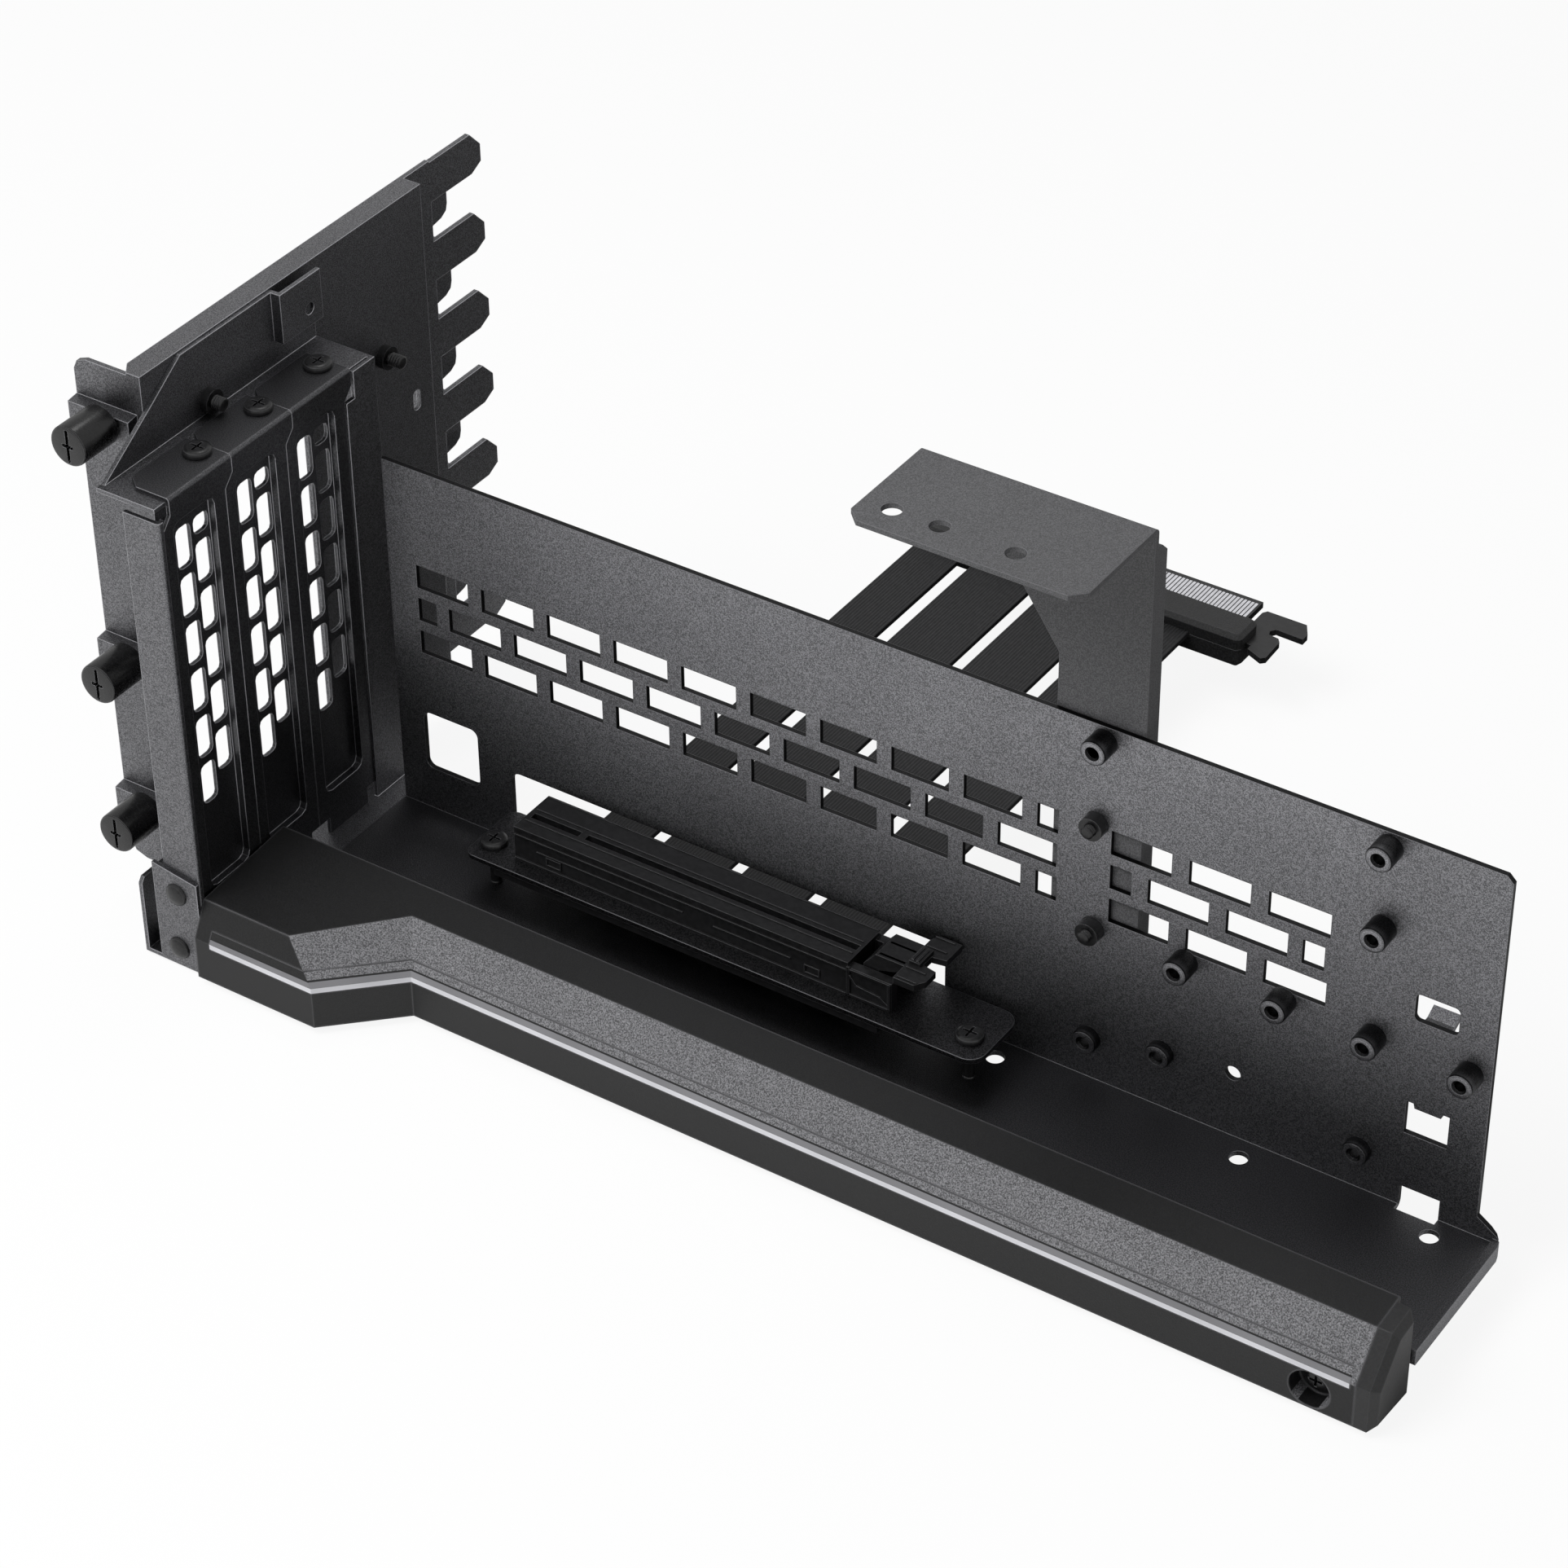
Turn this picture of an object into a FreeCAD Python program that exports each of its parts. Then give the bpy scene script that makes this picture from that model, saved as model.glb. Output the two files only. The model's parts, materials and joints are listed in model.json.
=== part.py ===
"""Vertical graphics-card bracket: folded tray, slot frame, rear plate, lit front trim and riser.

Sizes are in millimetres. While a piece is drawn, X runs along the tray, the panel's front face is
at Y = 0 and the floor's top is at Z = 0. Every finished piece is then moved by the same small step,
which puts the origin on the axis of the floor hole nearest the tray's middle.
"""
import FreeCAD, Part
import math
import os
import re
import Sketcher

DIMENSIONS = {
    # Step from the drawing corner to the floor hole nearest the tray's middle
    "datum_x": 0.8, "datum_y": 5.4,
    # Sheet thicknesses
    "tray_sheet": 1.2, "frame_sheet": 1.0, "cover_sheet": 0.9, "bend_radius": 0.8,
    # Tray
    "tray_left": -162.4, "tray_right": 115.7, "panel_right": 109.8, "panel_top": 92,
    "floor_front": -41, "trim_back": -37.4, "lip_width": 2, "lip_top": 1, "lip_bottom": -2.9,
    "foot_height": 5.1, "floor_hole_radius": 2.1, "floor_hole_y": -5.4, "panel_hole_radius": 1.8,
    # Brick pattern of the panel
    "brick_width": 14.1, "brick_height": 6, "brick_pitch": 17.7, "row_pitch": 8.75,
    "brick_top": 66.8, "bricks_left": -154.7, "half_brick": 5,
    "right_bricks_left": 22.1, "right_brick_pitch": 18.1, "right_bricks_end": 71.5,
    # Panel windows
    "window_left": -155.4, "window_right": -140.4, "window_low": 11.4, "window_high": 26.9,
    "cable_left": -131.3, "cable_right": -16.9, "cable_low": 4.4, "cable_high": 19.6,
    "tie_left": 92, "tie_right": 101.7, "tie_low": 48.2, "tie_high": 55.6,
    "tie_tab_depth": 5.2, "tie_tab_inset": 1.8, "ear_low": 19.3, "ear_high": 27.6,
    # Panel standoffs
    "standoff_radius": 2.4, "standoff_bore": 1.25, "standoff_height": 5.2,
    "short_standoff_height": 2.5, "standoff_shank": 2,
    # Support arm
    "arm_left": 7.8, "arm_right": 28.4, "arm_low": 30, "arm_top": 141.6, "arm_reach": -27.2,
    "arm_top_left": -25.1, "arm_side_depth": 6, "arm_hole_radius": 2.2, "arm_neck": 105,
    "arm_flare": 24.8, "arm_hole_y": -20.2,
    # Front trim
    "trim_left": -168.7, "trim_right": 110.5, "trim_front": -53.1, "wide_front": -68.2,
    "wide_right": -136.2, "wide_foot_right": -120.4, "trim_low": -9.4, "trim_low_back": -11.1,
    "chamfer_foot": 1.5, "crown": 12.5, "trim_top_back": -35.7, "trim_top": 11.7,
    "chamfer_slope": 0.8316, "wide_slope": 0.5309, "top_slope": 0.073, "trim_wall": 3,
    "strip_left": -164.5, "strip_right": 109.1, "strip_low": 0.2, "strip_high": 4.1,
    "pocket_x": 100.6, "pocket_z": -4.6, "pocket_radius": 4.6, "cap_right": 115.2, "cap_bevel": 1.6,
    # Slot frame
    "frame_front": -168.7, "gusset_front": -184.6, "frame_left": -65, "frame_right": 7.9,
    "wall_depth": 9.7, "flange_top": 111.6, "frame_low": -9.2, "gusset_top": 129.4,
    "raise_left": -5.9, "raise_low": 117.3, "raise_height": 2.5,
    # Slot covers
    "cover_front": -169.2, "cover_pitch": 20.32, "cover_left": -63.4, "cover_width": 20.2,
    "cover_low": 3, "cover_shoulder": 105.3, "cover_neck": 108.3, "tab_offset": 2.7,
    "tab_depth": 12, "foot_low": -6, "foot_inset": 3.6, "foot_width": 13.8,
    "pan_depth": 1.8, "pan_low": 10, "pan_high": 105.9, "pan_left": -60.2, "pan_right": -46.9,
    "slit_width": 4.7, "slit_height": 10.2, "slit_pitch": 12.3, "slit_radius": 1.3, "slits_top": 102.3,
    # Rear plate
    "plate_front": -185.6, "plate_sheet": 1.2, "plate_left": -48, "plate_right": 48.2,
    "plate_low": -2.3, "plate_top": 129.8, "plate_flange": 5.8, "screw_flange_left": -203.8,
    "strip_step": 4.6, "slot_pitch": 20.32, "tongue_tip": 76.3, "tongue_height": 10.1,
    "tongue_root": 57.5, "tongue_drop": 0.4, "tab_neck": 59.5, "tab_reach": 65.3, "tab_step": 1.8,
    "port_left": -44, "port_right": 3.5, "port_low": 5, "port_high": 108,
    "plate_slot_left": 40.8, "plate_slot_low": 74.2, "plate_seat": 3, "seat_length": 16.4,
    # Thumb screws
    "thumb_x": -194.4, "thumb_radius": 4.75, "thumb_length": 11.3, "thumb_top": 117.4,
    "thumb_shaft": 1.75, "shaft_gap": 0.08, "thread_start": -46.4, "thread_radius": 1.5,
    "shaft_tip": -39.5, "head_gap": 0.4,
    # Corner bracket
    "corner_left": -181, "corner_top": 16.3, "corner_low": -10.7, "corner_wall_top": 9.8,
    "corner_depth": 8, "rivet_radius": 2.8, "rivet_height": 1.3, "rivet_shaft": 1.6,
    # Riser
    "base_left": -130.1, "base_right": 3.4, "base_front": -20.3, "base_back": -1.9,
    "base_top": 10.6, "base_sheet": 1.2, "post_radius": 2.4, "base_screw_shaft": 1.3,
    "slot_left": -119.2, "slot_right": -31.5, "slot_front": -15.7, "slot_back": -2.5,
    "slot_top": 19.3, "groove_y": -10.2, "groove_width": 1.8, "groove_floor": 11,
    "key_x": -104.2, "key_width": 1.8, "contact_sheet": 0.35,
    "board_top": 8, "board_sheet": 1.55, "board_back": 1,
    # Latch at the slot's end
    "cheek_right": -20.5, "cheek_sheet": 2.2, "cheek_top": 18.2, "latch_pivot_x": -27.5,
    "latch_pivot_z": 12.9, "pin_radius": 0.9, "pin_gap": 0.05, "latch_half": 4.1,
    "latch_top": 22.3, "latch_sheet": 1.6, "wing_left": -19, "wing_right": -12.3,
    "wing_front": -17.6, "wing_back": -0.6, "fork_half": 2.2, "fork_depth": 3.4,
    # Ribbon cables and plug
    "ribbon_thick": 1.5, "plug_front": 144.2, "plug_back": 153.8, "plug_left": -116.5,
    "plug_right": -24.9, "plug_half": 3.9, "plug_half_low": 5.2, "plug_corner": 1.8,
    "plug_bevel": 1.1, "finger_left": -113.4, "finger_right": -29.5, "finger_tip": 164.4,
    "finger_sheet": 0.05,
    # Fasteners
    "arm_screw_shaft": 1.45, "arm_nut_radius": 2.7, "arm_nut_height": 2.9, "screw_x": -175.6,
    "screw_y": -43.5, "cover_screw_shaft": 1.5, "cover_head_radius": 3.1, "cover_head_height": 1.4,
    "frame_screw_radius": 1.6,
}

doc = FreeCAD.newDocument("vertical_card_bracket")
sheet = doc.addObject("Spreadsheet::Sheet", "dims")
for row, (alias, number) in enumerate(DIMENSIONS.items(), start=1):
    sheet.set(f"A{row}", str(number))
    sheet.setAlias(f"A{row}", alias)
doc.recompute()

# Places on the panel's face (x, z)
STANDOFFS_TALL = ((19.7, 88.4), (83.5, 88.5), (83.6, 68.6), (40.5, 40.9), (63.2, 41.1),
                  (83.6, 40.8), (105.1, 40.9))
STANDOFFS_SHORT = ((18.6, 10.7), (36.1, 14.7), (82.5, 10.3))
ARM_SCREWS = ((18.6, 67.4), (18.6, 40.1))
PANEL_HOLE = (52.9, 16.6)
# Places along the floor and along the arm's shelf (x)
FLOOR_HOLES = (-0.8, 58.2, 102.2)
ARM_HOLES = (-18.2, -7.3, 9.8)
# Screws through the rear plate (y, z), rivets (x, z) and screws of the riser's base (x, y)
FRAME_SCREWS = ((-28.8, 114.8), (31.3, 94))
RIVETS = ((-174.6, 9.7), (-175.4, -5.6))
BASE_SCREWS = ((-126.3, -13.9), (-2.3, -13.5))
# Left edge and top of the two columns of slits in a cover, and left and right edges of the ribbons
SLIT_COLUMNS = ((-57.9, 102.3), (-52.2, 108.1))
SLIT_ROWS = 6
RIBBONS = ((-113.2, -100.3), (-96.7, -79.2), (-75.8, -58.9), (-55.1, -38.5))

NODES = []
PLANES = {"xy": ("XY_Plane", 1, (0, 0, 1), 0), "xz": ("XZ_Plane", -1, (1, 0, 0), 90),
          "yz": ("YZ_Plane", 1, (1, 1, 1), 120)}
NORMAL_AXIS = {"xy": "z", "xz": "y", "yz": "x"}
TURNS = {"x": ((0, 1, 0), 90), "y": ((1, 0, 0), -90), "z": ((0, 0, 1), 0)}


def bound(text):
    """Expression text with every sheet alias written the way the sheet is addressed."""
    return re.sub(r"[a-z][a-z_]*", lambda m: "dims." + m[0] if m[0] in DIMENSIONS else m[0], str(text))


def value(text):
    """Number that an expression of the sheet gives."""
    return float(sheet.evalExpression(bound(text)))


def sketch_on(body, name, plane, level):
    """Empty sketch at a level of one of the three main planes."""
    role, sign, axis, angle = PLANES[plane]
    if body:
        sketch = body.newObject("Sketcher::SketchObject", name)
        origin_plane = [face for face in body.Origin.OriginFeatures if face.Role == role][0]
        sketch.AttachmentSupport = [(origin_plane, "")]
        sketch.MapMode = "FlatFace"
        sketch.setExpression("AttachmentOffset.Base.z", bound(f"({level}) * {sign}"))
    else:
        sketch = doc.addObject("Sketcher::SketchObject", name)
        sketch.Placement = FreeCAD.Placement(FreeCAD.Vector(), FreeCAD.Rotation(FreeCAD.Vector(*axis), angle))
        sketch.setExpression("Placement.Base." + NORMAL_AXIS[plane], bound(level))
    return sketch


def fix(sketch, kind, element, point, text):
    """Bind one coordinate of a sketch point to the sheet."""
    index = sketch.addConstraint(Sketcher.Constraint(kind, -1, 1, element, point, value(text)))
    sketch.setExpression(f"Constraints[{index}]", bound(text))


def draw_polygon(sketch, corners):
    """Closed outline through corners given as pairs of expressions."""
    points = [FreeCAD.Vector(value(u), value(v), 0) for u, v in corners]
    count = len(points)
    for i in range(count):
        sketch.addGeometry(Part.LineSegment(points[i], points[(i + 1) % count]))
    for i in range(count):
        sketch.addConstraint(Sketcher.Constraint("Coincident", i, 2, (i + 1) % count, 1))
    for i, (u, v) in enumerate(corners):
        fix(sketch, "DistanceX", i, 1, u)
        fix(sketch, "DistanceY", i, 1, v)


def draw_rounded(sketch, low, high, radius):
    """Rectangle between two corners, with round corners of one radius."""
    (left, foot), (right, top), r = map(value, low), map(value, high), value(radius)
    quarter = math.pi / 2
    centres = [(right - r, foot + r), (right - r, top - r), (left + r, top - r), (left + r, foot + r)]
    starts = [(left + r, foot), (right, foot + r), (right - r, top), (left, top - r)]
    ends = [(right - r, foot), (right, top - r), (left + r, top), (left, foot + r)]
    for i in range(4):
        sketch.addGeometry(Part.LineSegment(FreeCAD.Vector(*starts[i], 0), FreeCAD.Vector(*ends[i], 0)))
        circle = Part.Circle(FreeCAD.Vector(*centres[i], 0), FreeCAD.Vector(0, 0, 1), r)
        sketch.addGeometry(Part.ArcOfCircle(circle, (i - 1) * quarter, i * quarter))
    for i in range(8):
        sketch.addConstraint(Sketcher.Constraint("Tangent", i, 2, (i + 1) % 8, 1))
    for side, kind in ((0, "Horizontal"), (2, "Vertical"), (4, "Horizontal"), (6, "Vertical")):
        sketch.addConstraint(Sketcher.Constraint(kind, side))
    for arc in (3, 5, 7):
        sketch.addConstraint(Sketcher.Constraint("Equal", 1, arc))
    index = sketch.addConstraint(Sketcher.Constraint("Radius", 1, r))
    sketch.setExpression(f"Constraints[{index}]", bound(radius))
    fix(sketch, "DistanceY", 0, 1, low[1])
    fix(sketch, "DistanceX", 2, 1, high[0])
    fix(sketch, "DistanceY", 4, 1, high[1])
    fix(sketch, "DistanceX", 6, 1, low[0])


def pad(body, name, plane, corners, span):
    """Sheet or block of a body, from a polygon and two levels along the plane's normal."""
    start, end = span
    sketch = sketch_on(body, name + "_sketch", plane, start)
    draw_polygon(sketch, corners)
    made = body.newObject("PartDesign::Pad", name)
    made.Profile = sketch
    made.setExpression("Length", bound(f"abs(({end}) - ({start}))"))
    made.Reversed = (value(end) - value(start)) * PLANES[plane][1] < 0
    return made


def oblong(low, high):
    """Corners of a rectangle."""
    return [low, (high[0], low[1]), high, (low[0], high[1])]


def edges_along(shape, axis, spots):
    """Names of the straight edges parallel to an axis that stand on the given spots."""
    others = [other for other in "xyz" if other != axis]
    names = []
    for number, edge in enumerate(shape.Edges, start=1):
        if edge.Curve.TypeId != "Part::GeomLine":
            continue
        direction = edge.tangentAt(edge.FirstParameter)
        if abs(abs(getattr(direction, axis)) - 1) > 0.001:
            continue
        middle = edge.CenterOfMass
        place = [getattr(middle, other) for other in others]
        for u, v in spots:
            if abs(place[0] - value(u)) < 0.01 and abs(place[1] - value(v)) < 0.01:
                names.append(f"Edge{number}")
    return names


def soften(body, name, radius, axis, spots, kind="Fillet"):
    """Round or bevel the edges of a body that stand on the given spots."""
    doc.recompute([body])
    base = body.Tip
    made = body.newObject("PartDesign::" + kind, name)
    made.Base = (base, edges_along(base.Shape, axis, spots))
    made.setExpression("Radius" if kind == "Fillet" else "Size", bound(radius))
    return made


def block(name, low, high):
    """Plain block between two corners."""
    made = doc.addObject("Part::Box", name)
    for side, axis, start, end in zip(("Length", "Width", "Height"), "xyz", low, high):
        made.setExpression(side, bound(f"({end}) - ({start})"))
        made.setExpression("Placement.Base." + axis, bound(start))
    return made


def stand(made, foot, axis):
    """Turn a round primitive along an axis and put its foot on a point."""
    direction, angle = TURNS[axis]
    turn = FreeCAD.Rotation(FreeCAD.Vector(*direction), angle)
    made.Placement = FreeCAD.Placement(FreeCAD.Vector(), turn)
    for letter, place in zip("xyz", foot):
        made.setExpression("Placement.Base." + letter, bound(place))


def rod(name, foot, axis, radius, length):
    """Cylinder that starts at a point and runs along an axis."""
    made = doc.addObject("Part::Cylinder", name)
    made.setExpression("Radius", bound(radius))
    made.setExpression("Height", bound(length))
    stand(made, foot, axis)
    return made


def extrude(name, plane, span, draw, *shape):
    """Solid of a drawn outline between two levels."""
    start, end = span
    sketch = sketch_on(None, name + "_sketch", plane, start)
    draw(sketch, *shape)
    made = doc.addObject("Part::Extrusion", name)
    made.Base = sketch
    made.DirMode = "Normal"
    made.Solid = True
    made.setExpression("LengthFwd", bound(f"(({end}) - ({start})) * {PLANES[plane][1]}"))
    return made


def prism(name, plane, corners, span):
    """Solid of a polygon between two levels."""
    return extrude(name, plane, span, draw_polygon, corners)


def fuse(name, pieces):
    """One solid out of several that overlap or touch."""
    made = doc.addObject("Part::MultiFuse", name)
    made.Shapes = pieces
    made.Refine = True
    return made


def cut(name, base, tools):
    """Base solid without its tools."""
    made = doc.addObject("Part::Cut", name)
    made.Base = base
    made.Tool = tools[0] if len(tools) == 1 else together(name + "_tools", tools)
    made.Refine = True
    return made


def common(name, first, second):
    """Solid that two others share."""
    made = doc.addObject("Part::Common", name)
    made.Base = first
    made.Tool = second
    return made


def together(name, pieces):
    """Separate solids in one node."""
    made = doc.addObject("Part::Compound", name)
    made.Links = pieces
    return made


def new_body(name):
    """Empty body for a piece made by pads and pockets."""
    return doc.addObject("PartDesign::Body", name)


def node(piece, label):
    """Name a finished piece and move it to the origin on the floor hole."""
    piece.Label = label
    piece.setExpression("Placement.Base.x", bound("datum_x"))
    piece.setExpression("Placement.Base.y", bound("datum_y"))
    NODES.append(piece)


def rounded_prism(name, plane, low, high, radius, span):
    """Solid of a round-cornered rectangle between two levels."""
    return extrude(name, plane, span, draw_rounded, low, high, radius)


def tube(name, foot, axis, radii, length):
    """Cylinder with a bore right through it."""
    outer, inner = radii
    bore_foot = [f"({place}) - 1" if letter == axis else place for letter, place in zip("xyz", foot)]
    return cut(name, rod(name + "_outside", foot, axis, outer, length),
               [rod(name + "_bore", bore_foot, axis, inner, f"({length}) + 2")])


def clipped(low, high, radius):
    """Corners of a rectangle whose small round corners are drawn as two short sides each."""
    (left, foot), (right, top) = low, high
    near = f"({radius}) * {1 - math.sqrt(0.5):.3f}"
    return [(f"{left} + {radius}", foot), (f"{right} - {radius}", foot),
            (f"{right} - {near}", f"{foot} + {near}"), (right, f"{foot} + {radius}"),
            (right, f"{top} - {radius}"), (f"{right} - {near}", f"{top} - {near}"),
            (f"{right} - {radius}", top), (f"{left} + {radius}", top),
            (f"{left} + {near}", f"{top} - {near}"), (left, f"{top} - {radius}"),
            (left, f"{foot} + {radius}"), (f"{left} + {near}", f"{foot} + {near}")]


def brick_row(name, left, count, step, top, width="brick_width"):
    """Cutters for one row of brick-shaped windows through the panel."""
    cutters = []
    for i in range(count):
        x = f"{left} + {i} * {step}"
        low = (x, "-1", f"{top} - brick_height")
        high = (f"{x} + {width}", "tray_sheet + 1", top)
        cutters.append(block(f"{name}_{i}", low, high))
    return cutters


def brick_cutters():
    """Three rows of bricks in two groups, the middle row half a brick to the side."""
    cutters = []
    for i in range(3):
        top = f"brick_top - {i} * row_pitch"
        if i == 1:
            cutters += brick_row("brick_b", "bricks_left + 8.4", 9, "brick_pitch", top)
            cutters += brick_row("brick_b_half", "bricks_left", 1, "0", top, "half_brick")
            cutters += brick_row("right_b", "right_bricks_left + 8.9", 2, "right_brick_pitch", top)
            cutters += brick_row("right_b_half", "right_bricks_left", 2,
                                 "(right_bricks_end - right_bricks_left - half_brick)", top, "half_brick")
        else:
            cutters += brick_row(f"brick_{i}", "bricks_left", 9, "brick_pitch", top)
            cutters += brick_row(f"brick_{i}_half", "bricks_left + 9 * brick_pitch", 1, "0", top, "half_brick")
            cutters += brick_row(f"right_{i}", "right_bricks_left", 3, "right_brick_pitch", top)
    return cutters


def panel_rods(name, spots, radius, front, back):
    """Cylinders through the panel at the given places."""
    return [rod(f"{name}_{i}", (x, front, z), "y", radius, f"({back}) - ({front})")
            for i, (x, z) in enumerate(spots)]


def make_tray():
    """Floor and back panel, folded from one sheet, with a doubled lip at the right end."""
    body = new_body("tray_sheet_body")
    panel = [("tray_left", "-tray_sheet"), ("tray_right", "-tray_sheet"), ("tray_right", "lip_top"),
             ("panel_right", "foot_height"), ("panel_right", "panel_top - 1.5"),
             ("panel_right - 1.5", "panel_top"), ("tray_left", "panel_top")]
    pad(body, "panel", "xz", panel, ("0", "tray_sheet"))
    floor = [("tray_left", "0"), ("tray_left", "floor_front"), ("trim_right", "floor_front"),
             ("trim_right", "trim_back"), ("tray_right", "trim_back"), ("tray_right", "0")]
    pad(body, "floor", "xy", floor, ("-tray_sheet", "0"))
    lip = oblong(("tray_right - lip_width", "lip_bottom"), ("tray_right", "lip_top"))
    pad(body, "lip", "xz", lip, ("trim_back", "tray_sheet"))
    tab = [("0", "tie_low - 0.6"), ("tray_sheet + 1", "tie_low - 0.4"), ("tie_tab_depth", "tie_low + 0.9"),
           ("tie_tab_depth - 0.4", "tie_low + 2"), ("tray_sheet + 1", "tie_low + 0.6"), ("0", "tie_low + 0.6")]
    pad(body, "tie_tab", "yz", tab, ("tie_left + tie_tab_inset", "tie_right - tie_tab_inset"))
    soften(body, "crease", "tray_sheet + bend_radius", "x", [("tray_sheet", "-tray_sheet")])
    through = ("-1", "tray_sheet + 1")
    cutters = brick_cutters()
    cutters.append(rounded_prism("square_window", "xz", ("window_left", "window_low"),
                                 ("window_right", "window_high"), "2", through))
    cutters.append(rounded_prism("cable_window", "xz", ("cable_left", "cable_low"),
                                 ("cable_right", "cable_high"), "2.5", through))
    cutters.append(rounded_prism("tie_window_top", "xz", ("tie_left", "tie_low + 0.6"),
                                 ("tie_right", "tie_high"), "1.2", through))
    ears = [("tie_left", "ear_low"), ("tie_right", "ear_low"), ("tie_right", "ear_high"),
            ("tie_right - 1.6", "ear_high"), ("tie_right - 1.9", "ear_high - 1.2"),
            ("tie_left + 1.9", "ear_high - 1.2"), ("tie_left + 1.6", "ear_high"), ("tie_left", "ear_high")]
    cutters.append(prism("tie_window_middle", "xz", ears, through))
    cutters.append(block("tie_window_foot", ("tie_left + 0.3", "-1.7", "-tray_sheet - 1"),
                         ("tie_right - 0.3", "tray_sheet + 1", "foot_height")))
    bend = [("tray_right - 3", "tray_sheet + 1"), ("tray_right - 3", "tray_sheet"),
            ("tray_right - 1.5", "tray_sheet - 0.4"), ("tray_right - 0.4", "tray_sheet - 1.5"),
            ("tray_right", "tray_sheet - 3"), ("tray_right + 1", "tray_sheet - 3"),
            ("tray_right + 1", "tray_sheet + 1")]
    cutters.append(prism("lip_corner", "xy", bend, ("lip_bottom - 1", "foot_height")))
    for i, x in enumerate(FLOOR_HOLES):
        cutters.append(rod(f"floor_hole_{i}", (x, "floor_hole_y", "-tray_sheet - 1"), "z",
                           "floor_hole_radius", "tray_sheet + 2"))
    cutters += panel_rods("plain_hole", [PANEL_HOLE], "panel_hole_radius", *through)
    cutters += panel_rods("press_hole", STANDOFFS_TALL + STANDOFFS_SHORT, "standoff_shank", *through)
    cutters += panel_rods("nut_hole", ARM_SCREWS, "arm_nut_radius", *through)
    node(cut("tray_cut", body, cutters), "tray")


def make_standoffs():
    """Threaded tubes pressed into the panel: tall ones, and low ones near the floor."""
    tubes = []
    for kind, spots, height in (("tall", STANDOFFS_TALL, "standoff_height"),
                                ("low", STANDOFFS_SHORT, "short_standoff_height")):
        for i, (x, z) in enumerate(spots):
            collar = rod(f"{kind}_collar_{i}", (x, f"-{height}", z), "y", "standoff_radius", height)
            shank = rod(f"{kind}_shank_{i}", (x, "0", z), "y", "standoff_shank", "tray_sheet")
            bore = rod(f"{kind}_bore_{i}", (x, f"-{height} - 1", z), "y", "standoff_bore",
                       f"{height} + tray_sheet + 2")
            tubes.append(cut(f"{kind}_standoff_{i}", fuse(f"{kind}_tube_{i}", [collar, shank]), [bore]))
    node(together("standoffs", tubes), "panel_standoffs")


def make_arm():
    """Support arm: an upright behind the panel, bent forward into a drilled shelf at the top."""
    body = new_body("arm_body")
    back = "tray_sheet * 2"
    upright = [("arm_left", "arm_low"), ("arm_right", "arm_low"), ("arm_right", "arm_top"),
               ("arm_left - arm_flare", "arm_top"), ("arm_left", "arm_neck")]
    pad(body, "upright", "xz", upright, ("tray_sheet", back))
    shelf = [("arm_top_left", back), ("arm_top_left", "arm_reach + 3"), ("arm_top_left + 3", "arm_reach"),
             ("arm_right - 3", "arm_reach"), ("arm_right", "arm_reach + 3"), ("arm_right", back)]
    pad(body, "shelf", "xy", shelf, ("arm_top - tray_sheet", "arm_top"))
    side = [("tray_sheet", "arm_low"), ("arm_side_depth", "arm_low"), ("arm_side_depth", "arm_top - 7"),
            ("arm_side_depth - 2", "arm_top - 5"), ("tray_sheet", "arm_top - 5")]
    pad(body, "side_flange", "yz", side, ("arm_right - tray_sheet", "arm_right"))
    soften(body, "shelf_bend", "1.4", "x", [(back, "arm_top")])
    cutters = [rod(f"arm_hole_{i}", (x, "arm_hole_y", "arm_top - tray_sheet - 1"), "z",
                   "arm_hole_radius", "tray_sheet + 2") for i, x in enumerate(ARM_HOLES)]
    cutters += panel_rods("arm_screw_hole", ARM_SCREWS, "arm_screw_shaft", "0", "arm_side_depth")
    node(cut("arm_cut", body, cutters), "support_arm")


def make_arm_screws():
    """Two press nuts in the panel, and the screws that hold the arm to them from behind."""
    nuts, screws = [], []
    for i, (x, z) in enumerate(ARM_SCREWS):
        nuts.append(tube(f"arm_nut_{i}", (x, "-arm_nut_height", z), "y", ("arm_nut_radius", "arm_screw_shaft"),
                         "arm_nut_height + tray_sheet"))
        shaft = rod(f"arm_screw_shaft_{i}", (x, "-arm_nut_height - 1.6", z), "y", "arm_screw_shaft",
                    "arm_nut_height + 1.6 + 2 * tray_sheet")
        head = rod(f"arm_screw_head_{i}", (x, "2 * tray_sheet", z), "y", "2.7", "1.9")
        screws.append(fuse(f"arm_screw_{i}", [shaft, head]))
    node(together("arm_nut_pair", nuts), "arm_nuts")
    node(together("arm_screw_pair", screws), "arm_screws")


def trim_outlines():
    """Plan outline of the trim at the foot of its chamfer, and where its slanted faces reach."""
    rise = "(crown - chamfer_foot)"
    main_back = f"trim_front + {rise} * chamfer_slope"
    wide_back = f"wide_front + {rise} * wide_slope"
    foot = [("trim_left", "trim_top_back"), ("trim_left", "wide_front"), ("wide_right", "wide_front"),
            ("wide_foot_right", "trim_front"), ("trim_right", "trim_front"), ("trim_right", "trim_top_back")]
    top = [("trim_left", "trim_top_back"), ("trim_left", wide_back),
           (f"wide_right - {rise} * 1.07", wide_back), (f"wide_foot_right - {rise} * 0.53", main_back),
           ("trim_right", main_back), ("trim_right", "trim_top_back")]
    return foot, top


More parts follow.
